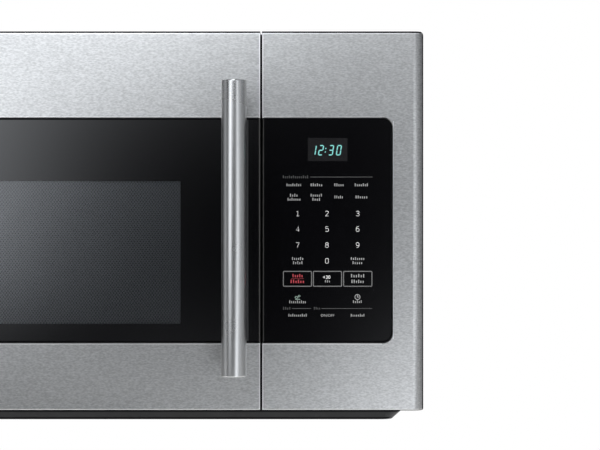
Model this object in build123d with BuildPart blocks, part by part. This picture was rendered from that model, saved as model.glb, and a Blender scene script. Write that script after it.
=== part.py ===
from build123d import *
import os

# Over-the-range microwave oven in millimetres.
# X runs to the viewer's right, Y runs into the wall and Z runs up.
# The origin is on the wall plate's back face, in the middle, half way up the oven's case.

os.makedirs("parts", exist_ok=True)

# ---- driving dimensions ----
CABINET_WIDTH = 760.5
TOP = 214.0  # height of the roof above the origin
FRONT_DROP = 419.3  # roof to the lower edge of the door and the control panel
FRONT_RISE = 0.5  # they stand this much above the roof
TRAY_DEPTH = 14.3  # pressed-down middle of the base plate, below the front
CABINET_DEPTH = 356.0  # wall to the front of the steel front frame
FRONT_DEPTH = 39.0  # the door and the control panel stand this far in front of it
SHEET = 1.2  # cabinet steel
SKIN = 1.0  # stainless cladding
PLATE = 1.5  # wall plate
SEAM_X = 200.25  # middle of the gap between door and control panel
SEAM = 2.1
DOOR_BACK_GAP = 1.0

EDGE_ROUND = 11.8  # large rounding up the outer front edges
SEAM_ROUND = 1.5
ROLL_ROUND = 2.0  # small rounding along the top and bottom front edges
CORNER_ROUND = 4.0
CORNER_EASE = 0.32  # the top corner's arc is a little flatter than a quarter circle
BAND_LOW = -130.4  # opening for the black glass band
BAND_HIGH = 118.8
BAND_HALF = 346.0
BAND_ROUND = 11.0
GLASS = 3.2
GLASS_REVEAL = 0.4
GLASS_GAP = 1.1
SEAM_GLASS_GAP = 0.8
GLASS_BEVEL = 1.2
LIP_BEVEL = 0.7  # eased edge of the opening in the skins

CAVITY_X = (-345.0, 176.0)
CAVITY_Y = (-354.8, -12.0)
CAVITY_Z = (-155.0, 95.0)
CAVITY_WALL = 1.0

WINDOW_X = (-280.6, 111.6)  # perforated part of the door screen
WINDOW_Z = (-109.4, 48.8)

HANDLE_X = 171.4
HANDLE_Z = (-164.8, 157.9)
HANDLE_RADIUS = 13.75
HANDLE_WALL = 1.5
HANDLE_STANDOFF = 45.0  # door face to the bar's centre
HANDLE_POST_Z = (-145.0, 138.0)
POST_RADIUS = 8.0

HINGE_X = -367.5
HINGE_Y = -372.0
HINGE_ARM_Z = (-184.5, 192.5)
HINGE_PIN_RADIUS = 3.0
RUNNING = 0.05  # radial clearance of every running fit

LATCH_X = 188.0
LATCH_Z = (-130.0, 70.0)  # hook heights
LATCH_TRAVEL = 6.0
PLUNGER_TRAVEL = 1.5

TRAY_RADIUS = 159.0
ROLLER_RADIUS = 8.0
ROLLER_TRACK = 104.0  # centre line of the rollers on the cavity floor
ROLLER_COUNT = 3
ROLLING_GAP = 0.3

DUCT_WIDTH = 254.0  # exhaust outlet, 10 by 3 1/4 inches
DUCT_LENGTH = 82.6
DUCT_BACK_Y = -25.0
STUD_PITCH = 406.4  # wall screws, 16 by 10 inches
STUD_ROWS = 254.0
WALL_SCREW_RADIUS = 3.5
TOP_BOLT_PITCH = 460.0
TOP_BOLT_Y = -240.0
TOP_BOLT_RADIUS = 4.0
CORD_HOLE = (330.0, -60.0)
CORD_HOLE_RADIUS = 14.0
CORD_BORE_RADIUS = 6.0

FILTER_WIDTH = 290.0
FILTER_LENGTH = 160.0
FILTER_X = 185.0
FILTER_Y = -185.0
FILTER_DEPTH = 7.0
LAMP_OPENING_X = (-60.0, 60.0)
LAMP_OPENING_Y = (-331.5, -278.5)

# ---- derived places ----
HALF_WIDTH = CABINET_WIDTH / 2
PANEL_BOTTOM = TOP - FRONT_DROP
BOTTOM = PANEL_BOTTOM - TRAY_DEPTH
INNER_X = HALF_WIDTH - SHEET
INNER_TOP = TOP - SHEET
FRAME_FRONT = -CABINET_DEPTH
FRAME_BACK = FRAME_FRONT + SHEET
FACE = FRAME_FRONT - FRONT_DEPTH
DOOR_BACK = FRAME_FRONT - DOOR_BACK_GAP
FLOOR_TOP = PANEL_BOTTOM + SHEET
BACK_INNER = -PLATE - SHEET
DOOR_X = (-HALF_WIDTH, SEAM_X - SEAM / 2)
PANEL_X = (SEAM_X + SEAM / 2, HALF_WIDTH)
FRONT_Z = (PANEL_BOTTOM, TOP + FRONT_RISE)
SKIN_BACK = -370.0  # end of the skins' folded edges
RECESS_Y = FACE + GLASS_REVEAL + GLASS  # back face of both glasses
GLASS_FRONT = FACE + GLASS_REVEAL
RECESS_CUT_Y = (FACE - 1, RECESS_Y)
WEB_BACK = RECESS_Y + 3.0
MOULDING_BACK = -360.0
CAVITY_CENTRE = ((CAVITY_X[0] + CAVITY_X[1]) / 2, -181.0)
TRAY_FLOOR_Z = BOTTOM + SHEET


def middle(span):
    """Middle of a (low, high) range."""
    return (span[0] + span[1]) / 2


def length(span):
    """Length of a (low, high) range."""
    return span[1] - span[0]


def grown(span, amount):
    """A (low, high) range made longer by amount at both ends."""
    return (span[0] - amount, span[1] + amount)


def block(x, y, z, mode=Mode.ADD):
    """Add a box that fills three (low, high) ranges to the current part."""
    with Locations((middle(x), middle(y), middle(z))):
        Box(length(x), length(y), length(z), mode=mode)


def rod(start, direction, reach, radius, mode=Mode.ADD):
    """Add a cylinder that runs from start along direction to the current part."""
    with Locations(Plane(origin=start, z_dir=direction)):
        Cylinder(radius, reach, align=(Align.CENTER, Align.CENTER, Align.MIN), mode=mode)


def front_block(x, y, z, outer_side, inset):
    """A door or panel block with a large rounding up its outer front edge, set in by inset."""
    x, z = grown(x, -inset), grown(z, -inset)
    if outer_side > 0:
        x = (-x[1], -x[0])
    with BuildPart() as shape:
        with BuildSketch(Plane.XY.offset(z[0])) as plan:
            with Locations((middle(x), middle(y))):
                Rectangle(length(x), length(y))
            front_corners = plan.vertices().group_by(Axis.Y)[0].sort_by(Axis.X)
            fillet(front_corners[0], EDGE_ROUND - inset)
            if inset == 0:
                fillet(front_corners[1], SEAM_ROUND)
        extrude(amount=length(z))
        corner = CORNER_ROUND - inset
        arc_middle = (x[0] + CORNER_EASE * corner, z[1] - CORNER_EASE * corner)
        side_end, top_end = (x[0], z[1] - corner), (x[0] + corner, z[1])
        with BuildSketch(Plane.XZ.offset(-y[1])):
            with BuildLine():
                ThreePointArc(side_end, arc_middle, top_end)
                Polyline(top_end, (x[1], z[1]), (x[1], z[0]), (x[0], z[0]), side_end)
            make_face()
        extrude(amount=length(y), mode=Mode.INTERSECT)
        if inset == 0:
            front_face = shape.faces().sort_by(Axis.Y)[0]
            fillet(front_face.edges().filter_by(Axis.X), ROLL_ROUND)
    return shape.part if outer_side < 0 else mirror(shape.part, about=Plane.YZ)


def band_block(x, z, y, outer_side, radius):
    """A block with the outline of the glass band: two rounded corners on its outer side."""
    with BuildPart() as shape:
        with BuildSketch(Plane.XZ.offset(-y[1])) as outline:
            with Locations((middle(x), middle(z))):
                Rectangle(length(x), length(z))
            side = outline.vertices().group_by(Axis.X)[0 if outer_side < 0 else -1]
            fillet(side, radius)
        extrude(amount=length(y))
    return shape.part


def eased_opening(x, z, outer_side):
    """The glass band's opening through a skin and its seam fold, with its front edge bevelled."""
    with BuildPart() as shape:
        add(band_block(x, z, RECESS_CUT_Y, outer_side, BAND_ROUND))
        seam_end = x[1] if outer_side < 0 else x[0]
        fold_x = sorted((seam_end, seam_end + outer_side * (1 + SKIN)))
        block(fold_x, (RECESS_Y - 1, SKIN_BACK + 1), z)
        wide = band_block(grown(x, LIP_BEVEL), grown(z, LIP_BEVEL), (FACE - 1, FACE), outer_side,
                          BAND_ROUND + LIP_BEVEL)
        add(wide)
        extrude(wide.faces().sort_by(Axis.Y)[-1], amount=LIP_BEVEL, taper=45)
    return shape.part


# ---- mounting and cabinet shell ----
PLATE_SIZE = (730.0, 385.0)
PLATE_WINDOW = (70.0, 200.0)
PLATE_WINDOW_X = (-280.0, -100.0, 100.0, 280.0)
HOOK_X = 150.0
HOOK_HALF = 20.0
HOOK_Z = -186.0
HOOK_REACH = 12.0
HOOK_RISE = 8.0

with BuildPart() as wall_plate:
    with BuildSketch(Plane.XZ):
        RectangleRounded(*PLATE_SIZE, 6)
        with GridLocations(STUD_PITCH, STUD_ROWS, 2, 2):
            Circle(WALL_SCREW_RADIUS, mode=Mode.SUBTRACT)
        with Locations(*[(x, 0) for x in PLATE_WINDOW_X]):
            RectangleRounded(*PLATE_WINDOW, 8, mode=Mode.SUBTRACT)
    extrude(amount=PLATE)
    for x in (-HOOK_X, HOOK_X):
        hook_span = (x - HOOK_HALF, x + HOOK_HALF)
        hook_front = -PLATE - HOOK_REACH
        block(hook_span, (hook_front, -PLATE), (HOOK_Z, HOOK_Z + PLATE))
        block(hook_span, (hook_front, hook_front + PLATE), (HOOK_Z, HOOK_Z + HOOK_RISE))
wall_plate.part.label = "wall_plate"
export_step(wall_plate.part, "parts/wall_plate.step")

INNER_CORNER = CORNER_ROUND - SHEET

with BuildPart() as back_panel:
    with BuildSketch(Plane.XZ.offset(PLATE)) as back_outline:
        with Locations((0, middle((FLOOR_TOP, INNER_TOP)))):
            Rectangle(2 * INNER_X, INNER_TOP - FLOOR_TOP)
        fillet(back_outline.vertices().group_by(Axis.Y)[-1], INNER_CORNER)
        with Locations((-HOOK_X, HOOK_Z + 5), (HOOK_X, HOOK_Z + 5)):
            Rectangle(2 * HOOK_HALF + 6, 20, mode=Mode.SUBTRACT)
    extrude(amount=SHEET)
back_panel.part.label = "back_panel"
export_step(back_panel.part, "parts/back_panel.step")

VENT_X = (-330.0, 330.0)
VENT_Y = (-342.0, -284.0)
BOTTOM_LIP = 12.0
SCREW_X = 371.5
SCREW_Y = (-330.0, -230.0, -130.0, -30.0)
SCREW_RADIUS = 1.8
WRAP_Y = (FRAME_FRONT, -PLATE)

with BuildPart() as outer_wrap:
    with BuildSketch(Plane.XZ.offset(PLATE)) as wrap_section:
        with Locations((0, middle((PANEL_BOTTOM, TOP)))):
            Rectangle(CABINET_WIDTH, TOP - PANEL_BOTTOM)
        fillet(wrap_section.vertices().group_by(Axis.Y)[-1], CORNER_ROUND)
        with BuildSketch(mode=Mode.PRIVATE) as wrap_hollow:
            with Locations((0, middle((PANEL_BOTTOM - SHEET, INNER_TOP)))):
                Rectangle(2 * INNER_X, INNER_TOP - PANEL_BOTTOM + SHEET)
            fillet(wrap_hollow.vertices().group_by(Axis.Y)[-1], INNER_CORNER)
        add(wrap_hollow.sketch, mode=Mode.SUBTRACT)
    extrude(amount=length(WRAP_Y))
    for side in (-1, 1):
        lip_x = sorted((side * INNER_X, side * (INNER_X - BOTTOM_LIP)))
        block(lip_x, (FRAME_BACK, BACK_INNER), (FLOOR_TOP, FLOOR_TOP + SHEET))
        for y in SCREW_Y:
            rod((side * SCREW_X, y, FLOOR_TOP - 1), (0, 0, 1), 4, SCREW_RADIUS, Mode.SUBTRACT)
    duct_y = (DUCT_BACK_Y - DUCT_LENGTH, DUCT_BACK_Y)
    roof_cut = (INNER_TOP - 1, TOP + 1)
    block((-DUCT_WIDTH / 2, DUCT_WIDTH / 2), duct_y, roof_cut, Mode.SUBTRACT)
    block(VENT_X, VENT_Y, roof_cut, Mode.SUBTRACT)
    for x in (-TOP_BOLT_PITCH / 2, TOP_BOLT_PITCH / 2):
        rod((x, TOP_BOLT_Y, roof_cut[0]), (0, 0, 1), 4, TOP_BOLT_RADIUS, Mode.SUBTRACT)
    rod((*CORD_HOLE, roof_cut[0]), (0, 0, 1), 4, CORD_HOLE_RADIUS, Mode.SUBTRACT)
outer_wrap.part.label = "outer_wrap"
export_step(outer_wrap.part, "parts/outer_wrap.step")

TRAY_HALF_TOP = 362.0
TRAY_SLOPE = TRAY_DEPTH  # its sides lie at 45 degrees
TRAY_Y = (-351.0, -9.0)
LAMP_EAR_X = 60.5
LAMP_EAR = 3.5
LAMP_AXIS = (-284.0, BOTTOM + 5)  # Y, Z of the lens hinge
LAMP_PIN_RADIUS = 1.5

with BuildPart() as base_plate:
    block((-INNER_X, INNER_X), (FRAME_BACK, BACK_INNER), (PANEL_BOTTOM, FLOOR_TOP))
    for drop, mode in ((0, Mode.ADD), (SHEET, Mode.SUBTRACT)):
        for height, inset in ((PANEL_BOTTOM + drop, drop), (BOTTOM + drop, TRAY_SLOPE + drop)):
            with BuildSketch(Plane.XY.offset(height)):
                with Locations((0, middle(TRAY_Y))):
                    RectangleRounded(
                        2 * (TRAY_HALF_TOP - inset), length(TRAY_Y) - 2 * inset, 14 - drop
                    )
        loft(mode=mode)
    floor_cut = (BOTTOM - 1, TRAY_FLOOR_Z + 1)
    for x in (-FILTER_X, FILTER_X):
        filter_x = (x - FILTER_WIDTH / 2, x + FILTER_WIDTH / 2)
        filter_y = (FILTER_Y - FILTER_LENGTH / 2, FILTER_Y + FILTER_LENGTH / 2)
        block(filter_x, filter_y, floor_cut, Mode.SUBTRACT)
    block(LAMP_OPENING_X, LAMP_OPENING_Y, floor_cut, Mode.SUBTRACT)
    for side in (-1, 1):
        ear_x = sorted((side * LAMP_EAR_X, side * (LAMP_EAR_X + LAMP_EAR)))
        block(ear_x, (LAMP_AXIS[0] - 4, LAMP_AXIS[0] + 4), (TRAY_FLOOR_Z, LAMP_AXIS[1] + 3))
        for y in SCREW_Y:
            rod((side * SCREW_X, y, PANEL_BOTTOM - 1), (0, 0, 1), 4, SCREW_RADIUS, Mode.SUBTRACT)
    ear_bore = LAMP_PIN_RADIUS + RUNNING
    rod((-70, *LAMP_AXIS), (1, 0, 0), 140, ear_bore, Mode.SUBTRACT)
base_plate.part.label = "base_plate"
export_step(base_plate.part, "parts/base_plate.step")

with BuildPart() as case_screws:
    for x in (-SCREW_X, SCREW_X):
        for y in SCREW_Y:
            rod((x, y, PANEL_BOTTOM), (0, 0, -1), 2, 3.5)
            rod((x, y, PANEL_BOTTOM), (0, 0, 1), 8, SCREW_RADIUS)
case_screws.part.label = "case_screws"
export_step(case_screws.part, "parts/case_screws.step")

FRAME_X = (-INNER_X, PANEL_X[0])
LATCH_SLOT_HALF = 7.0
LATCH_SLOT_Z = (-14.0, 16.0)  # about each hook
ARM_HALF = 7.0
ARM_THICK = 3.0

with BuildPart() as front_frame:
    with BuildSketch(Plane.XZ.offset(-FRAME_BACK)) as frame_outline:
        with Locations((middle(FRAME_X), middle((FLOOR_TOP, INNER_TOP)))):
            Rectangle(length(FRAME_X), INNER_TOP - FLOOR_TOP)
        top_left = frame_outline.vertices().group_by(Axis.Y)[-1].sort_by(Axis.X)[0]
        fillet(top_left, INNER_CORNER)
        with Locations((middle(CAVITY_X), middle(CAVITY_Z))):
            Rectangle(length(CAVITY_X), length(CAVITY_Z), mode=Mode.SUBTRACT)
        with Locations(*[(LATCH_X, z + middle(LATCH_SLOT_Z)) for z in LATCH_Z]):
            Rectangle(2 * LATCH_SLOT_HALF, length(LATCH_SLOT_Z), mode=Mode.SUBTRACT)
        with Locations(*[(HINGE_X, z) for z in HINGE_ARM_Z]):
            Rectangle(2 * ARM_HALF + 2, ARM_THICK + 2, mode=Mode.SUBTRACT)
    extrude(amount=SHEET)
front_frame.part.label = "front_frame"
export_step(front_frame.part, "parts/front_frame.step")


def hinge_bracket(arm_z):
    """A plate behind the front frame, an arm through it and the pin that carries the door."""
    arm = (arm_z - ARM_THICK / 2, arm_z + ARM_THICK / 2)
    plate_y = (FRAME_BACK, FRAME_BACK + 2)
    with BuildPart() as bracket:
        block((HINGE_X - 8.5, HINGE_X + 17.5), plate_y, (arm_z - 18, arm_z + 18))
        block((HINGE_X - ARM_HALF, HINGE_X + ARM_HALF), (HINGE_Y, FRAME_BACK), arm)
        rod((HINGE_X, HINGE_Y, arm[0]), (0, 0, 1), ARM_THICK, ARM_HALF)
        rod((HINGE_X, HINGE_Y, arm_z - 11), (0, 0, 1), 22, HINGE_PIN_RADIUS)
    return bracket.part


hinge_lower = hinge_bracket(HINGE_ARM_Z[0])
hinge_lower.label = "hinge_lower"
export_step(hinge_lower, "parts/hinge_lower.step")
hinge_upper = hinge_bracket(HINGE_ARM_Z[1])
hinge_upper.label = "hinge_upper"
export_step(hinge_upper, "parts/hinge_upper.step")

# ---- oven cavity and turntable ----
FLOOR_Z = CAVITY_Z[0]
GUIDE_Y = (-185.0, -125.0)  # waveguide mouth in the right wall
GUIDE_Z = (-25.0, 25.0)
CAVITY_LAMP = (-285.0, 60.0)  # Y, Z
SHAFT_HOLE_RADIUS = 5.0

with BuildPart() as cavity:
    wall_y = (CAVITY_Y[0], CAVITY_Y[1] + CAVITY_WALL)
    block(grown(CAVITY_X, CAVITY_WALL), wall_y, grown(CAVITY_Z, CAVITY_WALL))
    fillet(cavity.edges().filter_by(Axis.Z).group_by(Axis.Y)[-1], 14)
    with BuildSketch(Plane.XY.offset(CAVITY_Z[0])) as room:
        with Locations((middle(CAVITY_X), middle(CAVITY_Y))):
            Rectangle(length(CAVITY_X), length(CAVITY_Y))
        fillet(room.vertices().group_by(Axis.Y)[-1], 14 - CAVITY_WALL)
    extrude(amount=length(CAVITY_Z), mode=Mode.SUBTRACT)
    right_wall = (CAVITY_X[1] - 1, CAVITY_X[1] + CAVITY_WALL + 1)
    block(right_wall, GUIDE_Y, GUIDE_Z, Mode.SUBTRACT)
    rod((*CAVITY_CENTRE, FLOOR_Z - 3), (0, 0, 1), 6, SHAFT_HOLE_RADIUS, Mode.SUBTRACT)
    with BuildSketch(Plane.YZ.offset(right_wall[0])):
        with Locations(CAVITY_LAMP):
            with GridLocations(7, 7, 5, 5):
                Circle(1.6)
    extrude(amount=length(right_wall), mode=Mode.SUBTRACT)
    with BuildSketch(Plane.YZ.offset(CAVITY_X[0] - CAVITY_WALL - 1)):
        with Locations((-250, 60)):
            with GridLocations(8, 8, 12, 4):
                Circle(2)
    extrude(amount=CAVITY_WALL + 2, mode=Mode.SUBTRACT)
cavity.part.label = "cavity"
export_step(cavity.part, "parts/cavity.step")

with BuildPart() as mica_cover:
    mica_x = (CAVITY_X[1] - 0.8, CAVITY_X[1])
    block(mica_x, grown(GUIDE_Y, 7), grown(GUIDE_Z, 7))
    for y, z in ((-189, 28), (-121, 28), (-189, -28), (-121, -28)):
        rod((mica_x[0], y, z), (-1, 0, 0), 1.6, 3)
mica_cover.part.label = "mica_cover"
export_step(mica_cover.part, "parts/mica_cover.step")

MOTOR_TOP = FLOOR_Z - CAVITY_WALL
MOTOR_HEIGHT = 16.0
STEM_RADIUS = 3.5
STEM_BOTTOM = MOTOR_TOP - 12

with BuildPart() as turntable_motor:
    rod((*CAVITY_CENTRE, MOTOR_TOP), (0, 0, -1), MOTOR_HEIGHT, 25)
    ear_x = (CAVITY_CENTRE[0] - 34, CAVITY_CENTRE[0] + 34)
    ear_y = (CAVITY_CENTRE[1] - 7, CAVITY_CENTRE[1] + 7)
    block(ear_x, ear_y, (MOTOR_TOP - 1.5, MOTOR_TOP))
    plug_y = (CAVITY_CENTRE[1] + 20, CAVITY_CENTRE[1] + 32)
    block((ear_x[0] + 26, ear_x[0] + 42), plug_y, (MOTOR_TOP - 12, MOTOR_TOP - 3))
    rod((*CAVITY_CENTRE, MOTOR_TOP), (0, 0, -1), 14, STEM_RADIUS + RUNNING, Mode.SUBTRACT)
turntable_motor.part.label = "turntable_motor"
export_step(turntable_motor.part, "parts/turntable_motor.step")

ROLLER_Z = FLOOR_Z + ROLLING_GAP + ROLLER_RADIUS
GLASS_TRAY_Z = ROLLER_Z + ROLLER_RADIUS + ROLLING_GAP
COUPLER_BOTTOM = FLOOR_Z + 5

with BuildPart() as drive_coupler:
    rod((*CAVITY_CENTRE, STEM_BOTTOM), (0, 0, 1), COUPLER_BOTTOM - STEM_BOTTOM, STEM_RADIUS)
    rod((*CAVITY_CENTRE, COUPLER_BOTTOM), (0, 0, 1), GLASS_TRAY_Z - COUPLER_BOTTOM, 13)
    with BuildSketch(Plane.XY.offset(COUPLER_BOTTOM)):
        with Locations(CAVITY_CENTRE):
            with PolarLocations(14, 3):
                SlotOverall(16, 8)
    extrude(amount=GLASS_TRAY_Z - COUPLER_BOTTOM)
drive_coupler.part.label = "drive_coupler"
export_step(drive_coupler.part, "parts/drive_coupler.step")

TRAY_GLASS = 5.5
TRAY_RIM = 9.0

with BuildPart() as glass_tray:
    with BuildSketch(Plane.XZ.offset(-CAVITY_CENTRE[1])):
        with BuildLine():
            low = GLASS_TRAY_Z
            x0 = CAVITY_CENTRE[0]
            outline = [
                (x0, low),
                (x0 + 136, low),
                (x0 + 146, low + 2),
                (x0 + TRAY_RADIUS, low + TRAY_RIM + 2),
                (x0 + TRAY_RADIUS - 1, low + TRAY_RIM + 5.5),
                (x0 + TRAY_RADIUS - 6, low + TRAY_RIM + 4),
                (x0 + 141, low + TRAY_GLASS + 2),
                (x0 + 133, low + TRAY_GLASS),
                (x0, low + TRAY_GLASS),
            ]
            Polyline(*outline, close=True)
        make_face()
    revolve(axis=Axis((*CAVITY_CENTRE, 0), (0, 0, 1)))
    with BuildSketch(Plane.XY.offset(GLASS_TRAY_Z - 3)):
        with Locations(CAVITY_CENTRE):
            with PolarLocations(19, 3, start_angle=60):
                Rectangle(5, 14)
    extrude(amount=3)
glass_tray.part.label = "glass_tray"
export_step(glass_tray.part, "parts/glass_tray.step")

RING_HALF = 3.0
ROLLER_WIDTH = 10.0
AXLE_RADIUS = 2.0
RING_RADIUS = ROLLER_TRACK - ROLLER_WIDTH / 2 - 1 - RING_HALF

with BuildPart() as roller_ring:
    with BuildSketch(Plane.XY.offset(ROLLER_Z - 2)):
        with Locations(CAVITY_CENTRE):
            Circle(RING_RADIUS + RING_HALF)
            Circle(RING_RADIUS - RING_HALF, mode=Mode.SUBTRACT)
    extrude(amount=4)
    with Locations(Location((*CAVITY_CENTRE, ROLLER_Z))):
        with PolarLocations(RING_RADIUS + 1, ROLLER_COUNT):
            with Locations(Location((0, 0, 0), (0, 90, 0))):
                axle_reach = RING_HALF + ROLLER_WIDTH + 3
                from_start = (Align.CENTER, Align.CENTER, Align.MIN)
                Cylinder(AXLE_RADIUS, axle_reach, align=from_start)
                with Locations((0, 0, axle_reach - 1.2)):
                    Cylinder(AXLE_RADIUS + 1.5, 1.2, align=from_start)
roller_ring.part.label = "roller_ring"
export_step(roller_ring.part, "parts/roller_ring.step")

for number in range(ROLLER_COUNT):
    wheel_plane = Plane(Location((*CAVITY_CENTRE, ROLLER_Z), (0, 0, number * 360 / ROLLER_COUNT)))
    wheel_plane = Plane(
        origin=wheel_plane.from_local_coords((ROLLER_TRACK - ROLLER_WIDTH / 2, 0, 0)),
        z_dir=wheel_plane.x_dir,
    )
    with BuildPart() as roller:
        with BuildSketch(wheel_plane):
            Circle(ROLLER_RADIUS)
            Circle(AXLE_RADIUS + RUNNING, mode=Mode.SUBTRACT)
        extrude(amount=ROLLER_WIDTH)
        chamfer(roller.edges().filter_by(GeomType.CIRCLE).sort_by(SortBy.RADIUS)[-2:], 1)
    roller.part.label = f"roller_{number + 1}"
    export_step(roller.part, f"parts/roller_{number + 1}.step")

# ---- door ----
RECESS_BAND_X = (-BAND_HALF, DOOR_X[1] + 1)
BAND_Z = (BAND_LOW, BAND_HIGH)
NOTCH_HALF = 3.0  # hinge arm's slot in the door, above and below the arm's middle
NOTCH_X = (DOOR_X[0] - 1, HINGE_X + 9)
NOTCH_Y = (HINGE_Y - 11.5, DOOR_BACK + 1)
BUSH_RADIUS = 5.0
BUSH_LENGTH = 9.0
FLANGE_RADIUS = 6.5
SCREW_CLEAR = 2.6
WELL_RADIUS = 5.5
BACK_EDGE_ROUND = 7.0

door_outer = front_block(DOOR_X, (FACE, SKIN_BACK), FRONT_Z, -1, 0)
door_inner = front_block(DOOR_X, (FACE + SKIN, SKIN_BACK + 1), FRONT_Z, -1, SKIN)
door_recess = band_block(RECESS_BAND_X, BAND_Z, RECESS_CUT_Y, -1, BAND_ROUND)

with BuildPart() as door_skin:
    add(door_outer)
    add(door_inner, mode=Mode.SUBTRACT)
    add(eased_opening(RECESS_BAND_X, BAND_Z, -1), mode=Mode.SUBTRACT)
    for z in HINGE_ARM_Z:
        block(NOTCH_X, NOTCH_Y, (z - NOTCH_HALF, z + NOTCH_HALF), Mode.SUBTRACT)
    for z in HANDLE_POST_Z:
        rod((HANDLE_X, FACE - 1, z), (0, 1, 0), 3, SCREW_CLEAR, Mode.SUBTRACT)
door_skin.part.label = "door_skin"
export_step(door_skin.part, "parts/door_skin.step")

door_glass_x = (-BAND_HALF + GLASS_GAP, DOOR_X[1])
glass_z = grown(BAND_Z, -GLASS_GAP)
glass_y = (GLASS_FRONT, RECESS_Y)

with BuildPart() as door_glass:
    add(band_block(door_glass_x, glass_z, glass_y, -1, BAND_ROUND - GLASS_GAP))
    chamfer(door_glass.faces().sort_by(Axis.Y)[0].edges(), GLASS_BEVEL)
door_glass.part.label = "door_glass"
export_step(door_glass.part, "parts/door_glass.step")

POCKET_X = (-339.0, 161.0)
POCKET_Z = (-176.0, 186.0)
LATCH_BAR_HALF = 6.0
LATCH_BAR_Y = (-374.0, MOULDING_BACK - 0.4)
LATCH_BAR_Z = (LATCH_Z[0] - 16, LATCH_Z[1] + 16)
LATCH_CHANNEL_Z = (LATCH_BAR_Z[0] - 4, LATCH_BAR_Z[1] + LATCH_TRAVEL + 6)

with BuildPart() as door_frame:
    moulding = front_block(DOOR_X, (FACE + SKIN, MOULDING_BACK), FRONT_Z, -1, SKIN)
    add(moulding)
    hinge_edges = door_frame.edges().filter_by(Axis.Z)
    back_left = hinge_edges.group_by(Axis.Y)[-1].sort_by(Axis.X)[0]
    fillet(back_left, BACK_EDGE_ROUND)
    add(door_recess, mode=Mode.SUBTRACT)
    behind_web = (WEB_BACK, MOULDING_BACK + 1)
    block(POCKET_X, behind_web, POCKET_Z, Mode.SUBTRACT)
    block(grown(WINDOW_X, 8), (FACE, WEB_BACK + 1), grown(WINDOW_Z, 8), Mode.SUBTRACT)
    channel_x = (LATCH_X - LATCH_BAR_HALF - 0.4, LATCH_X + LATCH_BAR_HALF + 0.4)
    channel_y = (LATCH_BAR_Y[0] - 0.4, MOULDING_BACK + 1)
    block(channel_x, channel_y, LATCH_CHANNEL_Z, Mode.SUBTRACT)
    for z in HINGE_ARM_Z:
        block(NOTCH_X, NOTCH_Y, (z - NOTCH_HALF, z + NOTCH_HALF), Mode.SUBTRACT)
        bush_reach = 2 * (NOTCH_HALF + BUSH_LENGTH)
        rod((HINGE_X, HINGE_Y, z - bush_reach / 2), (0, 0, 1), bush_reach, BUSH_RADIUS, Mode.SUBTRACT)
    for z in HANDLE_POST_Z:
        rod((HANDLE_X, FACE, z), (0, 1, 0), 12, SCREW_CLEAR, Mode.SUBTRACT)
        rod((HANDLE_X, WEB_BACK, z), (0, 1, 0), 40, WELL_RADIUS, Mode.SUBTRACT)
door_frame.part.label = "door_frame"
export_step(door_frame.part, "parts/door_frame.step")

with BuildPart() as hinge_bushes:
    for z in HINGE_ARM_Z:
        for side in (-1, 1):
            seat = z + side * NOTCH_HALF
            away = (0, 0, side)
            rod((HINGE_X, HINGE_Y, seat), away, BUSH_LENGTH, BUSH_RADIUS)
            rod((HINGE_X, HINGE_Y, seat - side), away, 1, FLANGE_RADIUS)
        bore = HINGE_PIN_RADIUS + RUNNING
        rod((HINGE_X, HINGE_Y, z - 14), (0, 0, 1), 28, bore, Mode.SUBTRACT)
hinge_bushes.part.label = "hinge_bushes"
export_step(hinge_bushes.part, "parts/hinge_bushes.step")

PAN_X = (-330.0, 152.0)
PAN_Z = (-160.0, 100.0)
PAN_SHEET = 0.8

with BuildPart() as door_screen:
    block(PAN_X, (WEB_BACK, MOULDING_BACK), PAN_Z)
    lip_y = (MOULDING_BACK - PAN_SHEET, MOULDING_BACK)
    block(grown(PAN_X, 8), lip_y, grown(PAN_Z, 8))
    hollow_y = (WEB_BACK + PAN_SHEET, MOULDING_BACK + 1)
    block(grown(PAN_X, -PAN_SHEET), hollow_y, grown(PAN_Z, -PAN_SHEET), Mode.SUBTRACT)
door_screen.part.label = "door_screen"
export_step(door_screen.part, "parts/door_screen.step")

INNER_WINDOW_X = (-318.0, 140.0)
INNER_WINDOW_Z = (-140.0, 80.0)
REBATE_Y = (MOULDING_BACK, MOULDING_BACK + 1.6)
COVER_X = (HINGE_X + 1.5, DOOR_X[1] - 2)
COVER_Z = (FRONT_Z[0] + 3, FRONT_Z[1] - 3)

with BuildPart() as choke_cover:
    block(COVER_X, (MOULDING_BACK, DOOR_BACK), COVER_Z)
    through = (MOULDING_BACK - 1, DOOR_BACK + 1)
    block(grown(INNER_WINDOW_X, -8), through, grown(INNER_WINDOW_Z, -8), Mode.SUBTRACT)
    block(INNER_WINDOW_X, (through[0], REBATE_Y[1]), INNER_WINDOW_Z, Mode.SUBTRACT)
    for z in LATCH_Z:
        slot_x = (LATCH_X - 4.5, LATCH_X + 4.5)
        block(slot_x, through, (z - 13, z + LATCH_TRAVEL + 9), Mode.SUBTRACT)
    for z in HINGE_ARM_Z:
        block(NOTCH_X, through, (z - NOTCH_HALF, z + NOTCH_HALF), Mode.SUBTRACT)
    chamfer(choke_cover.faces().sort_by(Axis.Y)[-1].outer_wire().edges(), 1)
choke_cover.part.label = "choke_cover"
export_step(choke_cover.part, "parts/choke_cover.step")

with BuildPart() as inner_window:
    block(grown(INNER_WINDOW_X, -0.2), REBATE_Y, grown(INNER_WINDOW_Z, -0.2))
inner_window.part.label = "inner_window"
export_step(inner_window.part, "parts/inner_window.step")

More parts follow.
